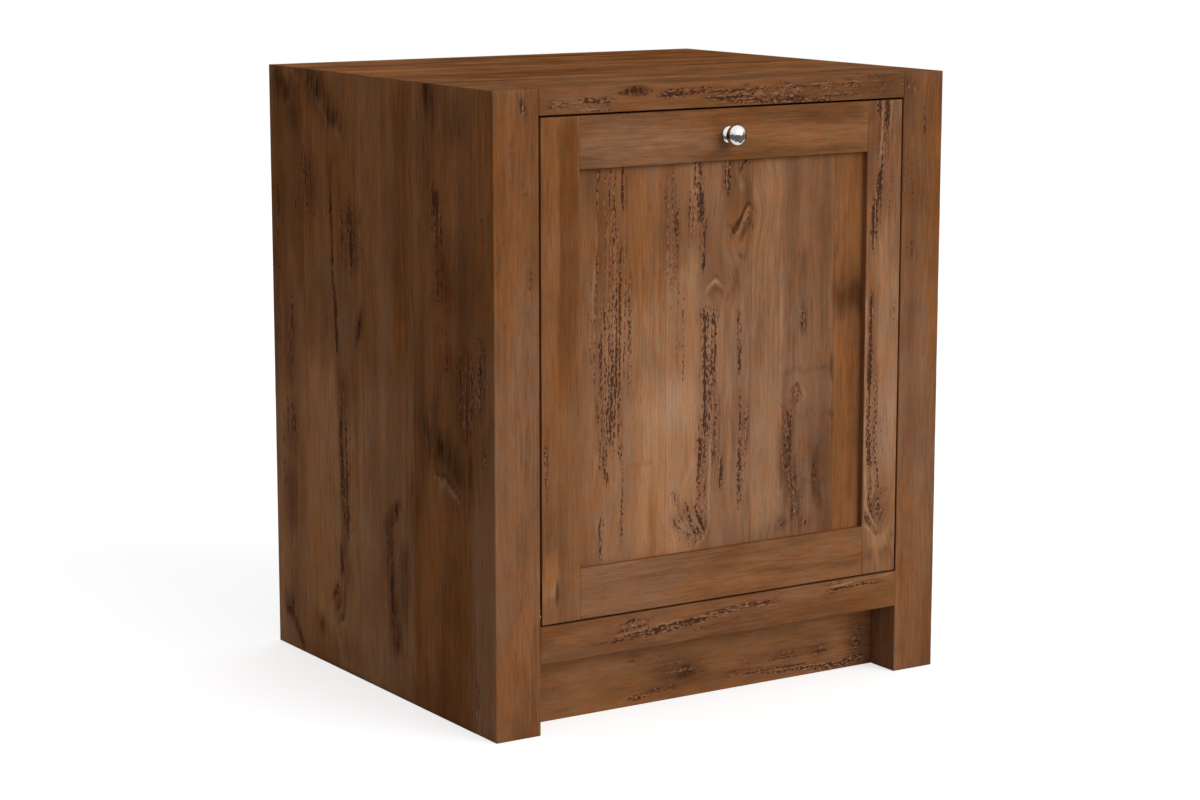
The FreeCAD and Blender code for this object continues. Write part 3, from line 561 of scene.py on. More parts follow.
class Knot(Blot):
    """A knot that the grain flows round."""

    def draw(self, field):
        reach = self.places(field, self.turn)[2]
        near = 0.7 * np.exp(-0.5 * (reach / 1.5) ** 2)
        if field.along == 0:
            field.grain_b -= (field.b - self.at[1]) * near
        else:
            field.grain_a -= (field.a - self.at[0]) * near
        rim = np.exp(-(((reach - 0.8) / 0.35) ** 2))
        heart = rise(-reach, -1.0, -0.1)
        field.lay("dark", self.dark * np.maximum(0.55 * rim, 0.85 * heart))
        field.lay("torn", self.torn * rise(-reach, -1.2, -0.5))
        field.warm += 0.25 * rise(-reach, -1.7, -0.8)


class Swirl(Blot):
    """Torn grain that turns about a point; its turn is that of the grain."""

    def draw(self, field):
        off_a, off_b, reach = self.places(field, 0.0)
        angle = self.turn * np.exp(-((0.8 * reach) ** 2))
        field.grain_a += off_a * (np.cos(angle) - 1.0) - off_b * np.sin(angle)
        field.grain_b += off_a * np.sin(angle) + off_b * (np.cos(angle) - 1.0)
        spread = rise(-reach, -1.15, -0.35)
        field.lay("torn", self.torn * spread)
        field.lay("dark", self.dark * spread)


class Tone:
    """A stretch of lighter or darker, warmer or greyer wood, with soft ends; a few, noted in the lists, are
    painted light.
    """

    def __init__(self, a_low, a_high, b_low, b_high, tone, warm, soft_a=7.0, soft_b=45.0):
        self.ends = ((a_low, a_high, soft_a), (b_low, b_high, soft_b))
        self.tone, self.warm = tone, warm

    def draw(self, field):
        cover = 1.0
        for place, (low, high, soft) in zip((field.a, field.b), self.ends):
            cover = cover * rise(place, low - soft, low + soft) * rise(-place, -high - soft, -high + soft)
        field.tone += self.tone * cover
        field.warm += self.warm * cover


# the front of the posts and rails, by X and Z
FRONT = [
    # left post
    Tone(-390, -352, 560, 910, -0.01, 0.45),
    Tone(-352, -312, 640, 910, -0.06, 0.35),
    Tone(-352, -312, 330, 640, 0, -0.4),
    Tone(-390, -352, 160, 500, 0.09, -0.35),
    Tone(-390, -312, -20, 160, -0.02, 0.25),
    Tear(6, 0.95, -353, 838, -352, 800, -354, 766),
    Tear(11, 1, -346, 895, -338, 878, -328, 862),
    Tear(26, 0.5, -345, 790, -343, 735),
    Tear(24, 0.45, -330, 665, -326, 620),
    # right post
    Tone(362, 390, 460, 910, -0.03, 0.5),
    Tone(312, 362, 600, 910, -0.06, 0.12),
    Tone(312, 362, 320, 600, -0.01, -0.6),
    Tone(312, 350, 10, 300, 0.01, 0.18),
    Tone(350, 390, -20, 160, -0.06, 0.1),
    Tear(13, 1, 318, 894, 323, 868),
    Tear(10, 0.8, 333, 890, 330, 866),
    Tear(6, 0.9, 351, 856, 351, 796),
    Tear(28, 0.55, 326, 790, 322, 690),
    Tear(28, 0.48, 335, 665, 330, 600),
    # top rail
    Tone(-312, 40, 862, 910, -0.07, 0.12, 25, 4),
    Tone(60, 312, 862, 910, -0.09, 0, 25, 4),
    Tear(12, 0.7, -305, 876, -240, 874),
    Tear(12, 0.88, -256, 878, -185, 880),
    Tear(8, 0.75, -252, 869, -190, 870),
    Knot(-156, 893, 20, 7, 0.85, 0, 0.9),
    Tear(9, 0.7, -190, 889, -130, 889),
    Tear(14, 1, -120, 884, -40, 886, 20, 881, 62, 873, 132, 870),
    Tear(9, 0.98, -40, 878, 64, 869, 150, 867, 192, 868),
    Tear(14, 0.85, 20, 888, 78, 882, 140, 876),
    Tear(14, 0.95, 78, 892, 140, 884),
    Tear(14, 0.85, 135, 893, 200, 886),
    Tear(16, 0.98, 196, 890, 240, 886),
    Tear(16, 0.62, 150, 874, 300, 876),
    Blot(275, 888, 36, 12, 0.4, 0, 0.75),
    # lower rail
    Tone(-312, 312, 98, 158, -0.05, 0.06, 30, 4),
    Tear(7, 0.85, -228, 116, -196, 117),
    Tear(13, 1.1, -200, 118, -150, 122, -60, 128, 0, 135, 50, 140, 106, 138),
    Tear(18, 1.05, -196, 131, -168, 140, -128, 136),
    Lip(3, 0.5, -192, 125, -120, 130, -70, 135),
    Tear(9, 1, 170, 151, 215, 153),
    Tear(9, 0.95, 176, 137, 214, 142, 290, 144),
    Lip(3, 0.5, 186, 145, 250, 149, 308, 152),
    Tear(13, 0.7, -310, 132, -292, 126),
    Tear(10, 0.45, -60, 113, 40, 118),
    Tone(-300, -214, 122, 142, 0.08, 0.15, 8, 6),
]

# the front of the door's frame, by X and Z
DOOR = [
    # left stile
    Tone(-309, -281, 158, 861, 0.12, 0.26, 4),
    Tone(-309, -281, 160, 440, 0, -0.1, 4),
    Tone(-281, -247, 470, 861, -0.12, 0.5, 4),
    Tone(-309, -247, 730, 861, -0.04, 0.35, 4),
    Tone(-281, -247, 158, 470, 0.01, 0.08, 4),
    Tear(11, 1, -299, 854, -294, 836),
    Line(24, 0.22, -262, 862, -264, 800),
    Line(7, 0.75, -284, 218, -283, 178),
    Blot(-300, 290, 14, 34, 0.34),
    Tear(9, 0.8, -303, 425, -300, 320),
    Tone(-309, -284, 190, 258, 0.16, 0.3, 3, 6),
    # right stile
    Tone(247, 309, 158, 861, 0.11, -0.2, 4),
    Tone(247, 275, 690, 861, -0.12, 0, 4),
    Tone(270, 309, 330, 700, 0.2, -0.3, 8),
    Tone(247, 309, 290, 450, 0.21, -0.35, 8),
    Tear(17, 1.25, 284, 885, 281, 830, 276, 780, 269, 740, 263, 700, 262, 642),
    Tear(16, 1.1, 265, 885, 270, 826),
    Tear(32, 0.72, 278, 885, 274, 760, 266, 650),
    Tear(7, 1.6, 283, 866, 279, 811, 274, 770, 268, 732, 263, 694, 262, 648),
    Lip(4, 0.62, 275, 880, 272, 815, 266, 760),
    Lip(4, 0.6, 291, 880, 288, 800),
    Tear(16, 1.08, 258, 575, 256, 500, 256, 420, 257, 350, 259, 310),
    Tear(6, 1.5, 259, 584, 257, 540, 258, 500, 257, 430),
    Tear(10, 0.92, 268, 480, 268, 400, 267, 360, 271, 310, 274, 280),
    Lip(5, 0.82, 250, 570, 249, 470, 250, 380, 253, 300, 256, 262, 266, 242, 280, 234),
    Tear(22, 0.55, 288, 800, 284, 690),
    Tear(20, 0.6, 296, 585, 300, 500),
    Tear(30, 0.42, 284, 480, 282, 320),
    # hook at its foot
    Swirl(283, 262, 21, 40, 0.1, 38, 0.5),
    Blot(277, 257, 15, 21, 0.5, 0, 1.05),
    Tear(9, 1.15, 261, 310, 261, 275, 268, 252, 286, 238),
    Tear(9, 1.25, 253, 258, 260, 237, 272, 225, 284, 222),
    Lip(4, 0.7, 268, 290, 266, 264, 275, 246, 290, 236),
    Lip(4, 0.66, 252, 240, 262, 224, 276, 216),
    Line(6, 0.45, 282, 290, 302, 286),
    Tone(262, 300, 196, 222, 0.14, 0, 8, 8),
    Blot(258, 188, 10, 15, 0.42),
    Blot(290, 184, 15, 12, 0.44),
    Blot(303, 206, 8, 12, 0.36),
    # door rails
    Tone(-247, -40, 788, 861, 0.1, -0.4, 60, 3),
    Tone(-40, 247, 788, 861, 0.02, 0.34, 60, 3),
    Tone(-247, 247, 834, 870, -0.11, 0.1, 30, 8),
    Line(9, 0.22, 60, 848, 150, 846, 240, 842),
    Line(10, 0.12, -200, 812, -90, 815),
    Tone(-247, -80, 158, 231, 0.09, -0.5, 60, 3),
    Tone(-80, 247, 158, 231, 0.02, 0.15, 60, 3),
    Line(14, 0.2, 40, 190, 140, 184, 240, 180),
    Line(9, 0.12, -210, 205, -100, 208, 0, 202),
]

# thin columns of specks on the panel: X, the heights of head and foot, the lean and how torn they are
COLUMNS = (
    (-205, 610, 350, 4, 1),
    (-199, 700, 350, 6, 1),
    (-193, 690, 370, 7, 1),
    (-187, 712, 400, 6, 1.08),
    (-181, 712, 420, 4, 1.04),
    (-175, 690, 366, 1, 1),
    (-167, 700, 480, 1, 0.96),
    (-160, 640, 460, 2, 0.98),
    (-170, 480, 250, 4, 0.94),
    (-210, 792, 726, 2, 1.1),
    (-198, 790, 700, 0, 1.2),
    (-190, 796, 716, 0, 1.35),
    (-183, 792, 690, -1, 1.2),
    (-171, 796, 732, 0, 1.2),
    (-164, 780, 730, 1, 1.1),
    (-213, 680, 430, 3, 1.02),
    (-221, 640, 500, 1, 0.92),
    (-95, 780, 620, 2, 0.82),
    (-87, 776, 560, 3, 0.86),
    (-78, 730, 480, 3, 0.84),
    (-68, 650, 470, 2, 0.84),
)

# the front of the door's panel, by X and Z
PANEL = [
    Tone(-160, 195, 226, 600, 0.05, -0.35, 10, 60),
    Tone(-262, -236, 540, 800, 0, 0.25),
    Tone(-236, -206, 740, 800, -0.16, -0.15),
    Tone(-236, -206, 660, 730, -0.05, 0.15),
    Tone(-262, -206, 226, 560, 0.13, -0.3),
    Tone(-206, -155, 226, 600, 0.24, -0.4),
    Tone(-158, -130, 430, 800, 0.1, 0.1),
    Tone(-150, -102, 226, 450, -0.01, 0.25, 10),
    Tone(-150, -48, 226, 470, 0.46, 0.16, 16),
    Tone(-106, -50, 430, 640, 0.32, -0.02, 14),
    Tone(-100, -40, 600, 800, 0.12, 0, 10),
    Tone(-150, -100, 440, 580, 0.1, -0.1, 14),
    Tone(-128, -114, 226, 330, -0.26, 0.1, 5),
    Tone(-52, 0, 590, 720, -0.17, -0.15),
    Tone(-52, 0, 226, 800, 0.16, -0.36, 8),
    Tone(0, 48, 226, 680, 0.16, -0.55, 10),
    Tone(0, 48, 690, 800, -0.08, 0.05, 6),
    Tone(48, 104, 226, 800, 0.17, -0.2, 3),
    Tone(50, 104, 226, 470, 0.06, -0.2, 8),
    Tone(100, 150, 226, 800, 0.06, -0.45, 10),
    Tone(150, 195, 226, 800, -0.06, -0.15, 8),
    Tone(140, 195, 300, 420, -0.1, 0.1, 14),
    Tone(195, 262, 226, 800, -0.01, 0.55, 2),
    Tone(195, 262, 640, 800, 0.09, -0.15, 2),
    Tone(195, 262, 552, 600, -0.28, -0.3, 3, 22),
    # broad speckled run on the left
    *[Tear(5, torn, x, top, x - 1, (top + foot) / 2, x - lean, foot) for x, top, foot, lean, torn in COLUMNS],
    Tear(56, 0.34, -180, 700, -178, 600, -186, 480, -188, 370),
    Lip(4, 0.3, -196, 700, -197, 560, -202, 400),
    Lip(4, 0.3, -184, 690, -185, 560, -190, 420),
    Tear(34, 0.6, -190, 750, -184, 690),
    Tear(9, 1.2, -203, 380, -199, 346),
    Tear(8, 0.85, -172, 312, -174, 268),
    Tear(8, 0.95, -205, 300, -206, 236),
    Tear(9, 0.95, -220, 236, -200, 235),
    Lip(3, 0.22, -214, 720, -215, 640),
    Lip(5, 0.42, -216, 650, -218, 600, -216, 556),
    Lip(6, 0.34, -217, 508, -216, 470),
    Lip(6, 0.32, -216, 390, -217, 354),
    Lip(5, 0.24, -212, 294, -213, 276),
    Lip(4, 0.45, -140, 766, -140, 758),
    # faint reddish specks
    Tear(34, 0.58, -95, 775, -92, 690, -88, 600),
    Tear(22, 0.56, -60, 745, -56, 660),
    Tear(8, 1, -74, 536, -73, 516),
    Tear(30, 0.42, -72, 640, -70, 540),
    # the two strong runs in the middle
    Tear(17, 1.4, -46, 800, -45, 755, -40, 720, -37, 690),
    Tear(9, 1.55, -34, 722, -33, 680, -36, 632),
    Tear(12, 0.62, -41, 700, -40, 650),
    Tear(12, 0.75, -54, 750, -55, 670),
    Tear(21, 1, -34, 588, -30, 540, -28, 480, -29, 430, -30, 385),
    Tear(11, 1.05, -39, 400, -41, 350, -43, 310, -46, 276),
    Tear(11, 1.05, -29, 395, -31, 340, -30, 300, -32, 266),
    Tear(15, 1.08, -16, 586, -15, 540, -15, 480, -9, 440, -11, 400, -12, 350),
    Tear(10, 1.15, -4, 364, -1, 340, -2, 308),
    Tear(16, 0.55, -42, 500, -44, 420, -46, 360),
    Line(24, 0.2, -10, 480, -9, 400, -6, 320),
    Lip(4, 0.75, -23, 572, -22, 500, -22, 420, -20, 350, -23, 300, -25, 268, -33, 245, -46, 236),
    # hook at their foot
    Swirl(-60, 274, 40, 36, 0.08, -40, 0.5),
    Blot(-48, 259, 26, 22, 0.46, 30, 1.05),
    Blot(-72, 278, 24, 15, 0.3, 20, 1.05),
    Tear(11, 1.2, -84, 322, -80, 300, -72, 280),
    Tear(9, 1.2, -66, 300, -58, 276, -50, 262),
    Tear(10, 1.15, -40, 300, -40, 275, -48, 256, -60, 250),
    Tear(9, 1.2, -32, 275, -36, 252, -50, 239, -60, 237),
    Lip(4, 0.6, -36, 300, -36, 270, -44, 250, -58, 243),
    Lip(4, 0.46, -52, 288, -54, 268, -64, 256),
    # short runs under the top rail
    Tear(9, 1.55, 7, 800, 9, 765, 8, 732),
    Tear(15, 1.05, 1, 785, -1, 738),
    Tear(9, 1.4, 22, 781, 44, 778),
    # knots beside the middle seam
    Knot(34, 696, 16, 30, 0.14, -38, 0.45),
    Line(8, 1, 12, 677, 24, 701, 47, 723),
    Line(6, 0.6, 4, 692, 20, 688),
    Line(11, 0.9, 28, 673, 40, 685, 48, 700),
    Lip(4, 0.75, 20, 684, 30, 694, 43, 704),
    Lip(4, 0.62, 25, 695, 36, 705, 47, 716),
    Lip(4, 0.45, 26, 669, 36, 663),
    Lip(8, 0.24, 21, 790, 26, 762, 34, 744),
    Tone(-8, 48, 640, 700, 0.04, 0.2, 10, 22),
    Knot(-12, 602, 12, 9, 0.3),
    Line(8, 0.8, -20, 611, -10, 606, -3, 606),
    Lip(5, 0.75, -31, 603, -25, 612, -15, 617, -4, 613),
    Line(5, 0.55, -24, 619, -14, 623, -4, 619),
    Lip(6, 0.3, -16, 598, -4, 592),
    Line(10, 0.36, -2, 590, 10, 600, 20, 612),
    Line(8, 0.45, 22, 654, 36, 644),
    Line(14, 0.26, 22, 640, 24, 600),
    # right-hand half
    Tear(9, 0.92, 29, 570, 29, 472),
    Tear(9, 1, 30, 452, 31, 400, 30, 286),
    Tear(12, 0.8, 39, 440, 38, 360, 42, 285),
    Line(18, 0.3, 140, 650, 142, 530),
    Tear(11, 0.95, 141, 575, 143, 532),
    Knot(133, 440, 13, 12, 0.16, 20, 0.65),
    Line(7, 0.9, 120, 450, 132, 453, 139, 444),
    Line(8, 0.85, 120, 434, 132, 428, 125, 418),
    Lip(5, 0.6, 140, 452, 148, 442, 141, 434),
    Line(6, 0.55, 96, 432, 108, 422),
    Tear(24, 0.84, 98, 426, 118, 408, 112, 388, 114, 350, 121, 318, 130, 288, 131, 236),
    Tear(44, 0.55, 112, 380, 118, 320, 126, 260),
    Line(30, 0.5, 116, 420, 112, 380, 118, 330, 130, 290, 132, 238),
    Line(16, 0.52, 166, 372, 164, 320, 172, 262),
    Tear(14, 0.62, 163, 345, 170, 258),
    Blot(104, 252, 18, 14, 0.36, 0, 0.85),
    Blot(140, 246, 18, 16, 0.32, 0, 0.85),
    Line(6, 0.6, 192, 500, 193, 460),
    Line(8, 0.6, 193, 408, 196, 398),
    # faint saw marks across the grain
    Line(7, 0.2, 96, 478, 190, 474),
    Line(7, 0.2, 110, 410, 188, 408),
    Line(8, 0.2, 108, 368, 186, 364),
    Line(8, 0.22, 96, 312, 190, 306),
    Line(7, 0.14, -170, 366, -110, 362),
]

# the front of the plinth, by X and Z
PLINTH = [
    Tone(-312, 312, -10, 130, 0.01, 0.16, 20, 5),
    # painted light: the upper band, in the shade under the lower rail, is made lighter to lift that shade
    Tone(-330, 330, 50, 130, 0.11, 0, 20, 8),
    Tone(-220, -100, 0, 50, 0.1, 0.12, 20, 8),
    # painted light: lighter still towards the right post, lifting the shade there
    Tone(80, 330, 50, 130, 0.06, 0, 20, 8),
    Blot(-30, 37, 24, 14, 0.85, 0, 1),
    Blot(-46, 42, 54, 24, 0.5, 0, 0.6),
    Blot(-128, 78, 30, 12, 0.36, -14),
    Tone(0, 60, 32, 48, 0.12, 0.1, 12, 6),
    Tear(12, 0.95, -140, 10, -96, 14, -44, 20),
    Tear(12, 1, 40, 22, 100, 20, 156, 10),
    Tear(14, 1.05, 100, 20, 190, 12, 240, 10, 306, 14),
    Tear(6, 1, -262, 46, -246, 46),
    Tear(8, 0.85, -132, 70, -108, 62),
    Tear(20, 0.6, 60, 42, 180, 36),
    Blot(216, 38, 28, 18, 0.4, 0, 0.85),
    Blot(282, 40, 22, 36, 0.5, 0, 0.8),
]

# the left side, by Y and Z
LEFT = [
    # post
    Tone(-320, -261, -20, 330, 0.14, -0.45, 4),
    Tone(-320, -261, 560, 910, -0.04, 0.55, 4),
    Tear(20, 0.45, -290, 800, -286, 620),
    Tear(38, 0.85, -283, 575, -278, 500, -272, 440),
    Tear(24, 0.78, -304, 450, -294, 410, -284, 370),
    Tear(12, 0.8, -266, 75, -265, 14),
    Lip(4, 0.5, -264, 44, -263, 20),
    # front board
    Tone(-261, -92, 330, 910, -0.03, 0.3, 6),
    Tone(-261, -180, 330, 700, -0.08, 0.05, 14),
    Blot(-140, 884, 22, 50, 0.92),
    Blot(-214, 852, 26, 42, 0.4),
    Blot(-225, 630, 32, 70, 0.34),
    Tear(34, 1, -162, 770, -166, 690, -168, 650),
    Tear(54, 1.08, -178, 680, -174, 560),
    Tear(40, 1, -204, 567, -140, 549),
    Tear(48, 0.95, -181, 560, -174, 470),
    Tear(54, 0.98, -243, 560, -232, 405),
    Blot(-168, 392, 78, 32, 0.85, 26),
    Blot(-150, 440, 56, 44, 0.36, 10),
    Blot(-206, 366, 36, 18, 0.66, 24),
    Line(12, 0.66, -252, 404, -250, 342),
    Line(7, 0.7, -226, 320, -196, 344, -150, 360),
    Lip(9, 0.36, -222, 316, -190, 336, -146, 354),
    Tone(-252, -92, -20, 318, -0.07, 0.62, 6, 26),
    Line(6, 0.6, -87, 346, -86, 306),
    # second board
    Tone(-86, -36, 480, 910, -0.07, 0.6, 6, 60),
    Line(56, 0.24, -60, 880, -58, 700, -54, 540),
    Tone(0, 76, 440, 900, 0.09, 0.3, 16, 60),
    # lighter towards the bottom: partly the board's tone and partly painted light that lifts the shade low on
    # the side
    Tone(-9, 76, -20, 460, 0.2, -0.3, 6),
    Tone(-92, -9, -20, 460, 0.08, -0.25, 6),
    Blot(-34, 284, 18, 15, 0.55, 0, 0.9),
    Line(40, 0.46, -36, 284, -12, 250, -15, 200, -24, 140, -34, 98, -36, 50),
    Tear(26, 0.95, -36, 290, -12, 250, -15, 200, -24, 140, -34, 98, -36, 50),
    Line(24, 0.4, -58, 232, -60, 100),
    # third board
    Tone(76, 243, 640, 910, -0.01, 0.55, 8),
    # lighter in the lower half: partly the board's tone and partly painted light that lifts the shade low on
    # the side
    Tone(150, 243, 40, 470, 0.32, 0.05, 14),
    Tone(76, 150, -20, 400, 0.2, -0.1, 8),
    Blot(194, 874, 64, 34, 1, 32),
    Blot(150, 842, 50, 18, 0.5, 30),
    Line(36, 0.85, 222, 900, 176, 858, 108, 816),
    Lip(14, 0.26, 236, 896, 200, 856, 120, 808),
    Tear(10, 1.25, 150, 770, 153, 680, 148, 600, 141, 556, 138, 480),
    Line(6, 0.8, 152, 720, 150, 610),
    Tear(68, 1, 90, 735, 94, 650, 86, 590),
    Blot(90, 650, 30, 62, 0.34),
    Blot(118, 560, 40, 56, 0.22),
    Line(9, 0.6, 62, 566, 70, 530, 80, 504),
    Tear(26, 1.1, 60, 570, 80, 502),
    Tear(18, 1.1, 126, 450, 131, 390, 130, 340, 124, 300, 128, 250, 127, 200, 131, 140),
    Tear(30, 0.6, 112, 440, 116, 340, 110, 200),
    Line(26, 0.3, 124, 460, 128, 340, 124, 200, 130, 120),
    Swirl(149, 104, 24, 42, 0.26, -38, 1),
    Blot(147, 100, 12, 18, 0.5),
    Line(5, 0.6, 126, 140, 128, 96, 140, 72, 158, 62),
    Lip(4, 0.34, 134, 130, 136, 98, 148, 80),
    Lip(4, 0.3, 122, 110, 128, 80, 146, 62),
    Lip(4, 0.2, 166, 130, 168, 100, 158, 76),
    Blot(112, 170, 14, 30, 0.46),
    Blot(202, 62, 26, 15, 0.66, 35),
    Blot(120, 40, 40, 22, 0.34, 10),
    # back board
    Tone(243, 350, 560, 910, -0.13, 0.4, 8),
    # lighter towards the bottom: partly the board's tone and partly painted light that lifts the shade low on
    # the side
    Tone(243, 350, -20, 420, 0.19, -0.05, 8),
    Blot(304, 872, 46, 26, 0.95, 32),
    Blot(274, 828, 36, 30, 0.6),
    Lip(12, 0.22, 246, 880, 280, 892, 300, 900),
    Tear(54, 0.84, 234, 800, 236, 660),
    Tear(50, 0.9, 290, 590, 292, 410),
    Tear(46, 0.92, 288, 420, 298, 300),
    Tear(44, 0.9, 296, 310, 300, 170),
    Tear(24, 0.6, 330, 720, 334, 480),
    Line(36, 0.24, 292, 560, 294, 420, 298, 210),
    Line(18, 0.75, 258, 4, 300, 50, 326, 66),
    Blot(310, 70, 20, 18, 0.3, 0, 0.9),
]

# the top, by X and Y
TOP = [
    Tone(-400, 400, -330, 360, 0.02, 0.3),
    Tone(-390, 390, -120, 40, 0, 0.15, 20, 8),
    Tone(-400, 400, -330, -100, 0.07, -0.1, 20, 12),
    Tone(-390, 390, 196, 350, -0.04, 0.05, 20, 8),
    Tone(0, 390, 43, 350, -0.02, 0.25, 40, 12),
    Tone(-390, -200, 40, 350, 0.08, 0, 60, 12),
    Tone(-330, 120, 60, 120, 0.04, 0.35, 60, 12),
    Tone(40, 384, -70, -20, 0.05, 0.3, 60, 12),
    Tone(-260, -60, 215, 250, 0.08, 0.2, 40, 8),
    Tone(-40, 160, 250, 290, 0.1, 0.1, 40, 8),
    Tone(120, 330, 130, 170, -0.1, 0.2, 40, 8),
    Tone(-150, 60, -60, -20, -0.08, 0.1, 40, 8),
    Tone(-330, -140, -30, 10, -0.07, 0, 40, 8),
    Tone(-120, 90, -230, -190, 0.07, 0.2, 40, 8),
    Tone(150, 360, -200, -150, 0.08, 0, 40, 10),
    Knot(284, 0, 34, 16, 0.85, 0, 0.1),
    Line(18, 0.5, 160, -4, 284, 4, 384, -12),
    Lip(14, 0.34, 290, -30, 375, -22),
    Knot(20, 176, 20, 10, 0.45),
    Line(14, 0.42, -70, 176, 20, 178, 130, 172),
    Line(20, 0.5, -90, -20, -30, -10),
    Line(14, 0.34, -350, 150, -120, 158, -20, 150),
    Line(14, 0.34, -240, -190, -20, -196, 120, -188),
    Line(18, 0.4, -360, 230, -200, 226),
    Line(22, 0.4, -120, 300, 40, 306),
    Line(18, 0.42, 110, 240, 260, 234),
    Line(22, 0.45, 190, 310, 360, 318),
    Line(16, 0.36, 40, 96, 190, 92),
    Line(16, 0.34, -190, 70, -60, 66),
    Line(16, 0.34, -300, -70, -160, -76),
    Line(16, 0.34, 30, -120, 170, -126),
    Line(16, 0.34, -360, -150, -250, -146),
    Line(16, 0.36, 220, -230, 340, -226),
    Line(14, 0.4, -170, -262, -60, -266),
    Tear(20, 0.7, -320, 262, -190, 266),
    Tear(20, 0.7, 80, -240, 230, -236),
    Tear(20, 0.6, -110, 120, 60, 126),
]


# boards

# eased edges of the posts, of boards that meet and of the door's panel, and how far the panel is let in
ARRIS = 1.1 * MM
SEAM = 0.5 * MM
PANEL_SEAM = 0.2 * MM
PANEL_EMBED = 2 * MM
# how deep the grain is torn and the edges are worn, and the wave lengths of the wear
TEAR_DEPTH = 0.8 * MM
WORN = 0.5 * MM
WORN_WAVES = (0.022, 0.3)
# the grid's first step into an eased edge, and how far past it two eased edges meet, as shares of the ease
FIRST_STEP = 0.3
CORNER = 0.414
# pitch of a board's grid across and along its grain
FINE = (1.6 * MM, 3.4 * MM)
COARSE = (2.6 * MM, 6.0 * MM)
# the two axes of a face, by the axis that it looks along
FACE_AXES = ((Y, Z), (X, Z), (X, Y))
FRONT_FACE, LEFT_FACE, TOP_FACE = (Y, -1), (X, -1), (Z, 1)
# figure and contrast of the top's pine
TOP_LOOK = (0.25, 1.45)

# marks drawn by chance, by the spans of their values. Lines: the area for each, then place across and along,
# reach, drift, width and strength. A knot: place, half sizes, darkness and torn grain. A tone: place,
# lightness and warmth; its reach and softness are fixed
WILD_LINES = (
    (Tear, 30000, ((0.1, 0.9), (0.0, 0.7), (0.12, 0.35), (-0.03, 0.03), (7, 20), (0.45, 0.9))),
    (Line, 45000, ((0.0, 1.0), (0.0, 0.5), (0.3, 0.5), (-0.05, 0.05), (12, 34), (0.12, 0.34))),
)
WILD_KNOT = ((0.25, 0.75), (0.1, 0.9), (9, 15), (13, 24), (0.45, 0.75), (0.0, 0.5))
WILD_TONE = ((0.0, 0.7), (-0.2, 0.6), (-0.12, 0.14), (-0.4, 0.4))
TONE_REACH = (0.3, 0.5)
TONE_SOFT = (10.0, 60.0)
KNOT_CHANCE = 0.7
KNOT_ROOM = 40


def wild_marks(random, low, high, along):
    """Marks for a face that no list covers, more of them on a larger face."""
    across = 1 - along
    width, length = (high - low)[[across, along]]

    def drawn(spans):
        return [random.uniform(*span) for span in spans]

    def ordered(for_across, for_along):
        return np.array((for_across, for_along) if across == 0 else (for_along, for_across))

    def spot(share_across, share_along):
        return low + ordered(share_across, share_along) * (high - low)

    marks = []
    for kind, area, spans in WILD_LINES:
        for _ in range(max(1, round(width * length / area))):
            at, start, reach, drift, broad, strength = drawn(spans)
            bend, end = spot(at + drift, start + reach / 2), spot(at, start + reach)
            marks.append(kind(broad, strength, *spot(at, start), *bend, *end))
    if width > KNOT_ROOM and random.random() < KNOT_CHANCE:
        at, start, half_across, half_along, dark, torn = drawn(WILD_KNOT)
        marks.append(Knot(*spot(at, start), *ordered(half_across, half_along), dark, 0.0, torn))
    for _ in range(2):
        at, start, tone, warm = drawn(WILD_TONE)
        a_low, b_low = spot(at, start)
        a_high, b_high = spot(at + TONE_REACH[0], start + TONE_REACH[1])
        marks.append(Tone(a_low, a_high, b_low, b_high, tone, warm, *ordered(*TONE_SOFT)))
    return marks


def grid_lines(low, high, pitch, ease):
    """Places of grid lines: close together over the eased edges and even between them."""
    count = max(2, round((high - low - 2 * ease) / pitch) + 1)
    middle = np.linspace(low + ease, high - ease, count)
    return np.concatenate(([low, low + FIRST_STEP * ease], middle, [high - FIRST_STEP * ease, high]))


def box_skin(lines):
    """Points and outward quads of a box's skin, and the side each point lies on for each axis."""
    shape = tuple(len(each) for each in lines)
    place = np.indices(shape)
    side = np.stack([(index == count - 1) * 1 - (index == 0) for index, count in zip(place, shape)])
    skin = side.any(0)
    number = np.full(shape, -1)
    number[skin] = np.arange(skin.sum())
    points = np.stack([line[index[skin]] for line, index in zip(lines, place)], 1)
    quads = []
    for axis in range(3):
        for end in (0, -1):
            sheet = np.take(number, end, axis=axis)
            corners = [sheet[:-1, :-1], sheet[1:, :-1], sheet[1:, 1:], sheet[:-1, 1:]]
            if (end == 0) != (axis == 1):
                corners.reverse()
            quads.append(np.stack([corner.ravel() for corner in corners], 1))
    return points, np.concatenate(quads), side[:, skin].T


def ease_edges(points, low, high, ease, along, seed):
    """Round a box's edges and wear them a little unevenly."""
    core = np.clip(points, low + ease, high - ease)
    out = points - core
    reach = np.linalg.norm(out, axis=1)
    edge = np.clip((reach / ease - 1.0) / CORNER, 0.0, 1.0)
    rub = even_noise(points[:, along] / WORN_WAVES[0], points.sum(1) / WORN_WAVES[1], seed) ** 2
    kept = ease - edge * rub * WORN
    return core + out / np.maximum(reach, 1e-9)[:, None] * kept[:, None]


def home_axis(sides, extent):
    """For each point, the axis of the largest face that it lies on."""
    home = np.full(len(sides), -1)
    area = [extent[first] * extent[second] for first, second in FACE_AXES]
    for axis in sorted(range(3), key=lambda each: -area[each]):
        home[(home < 0) & (sides[:, axis] != 0)] = axis
    return home


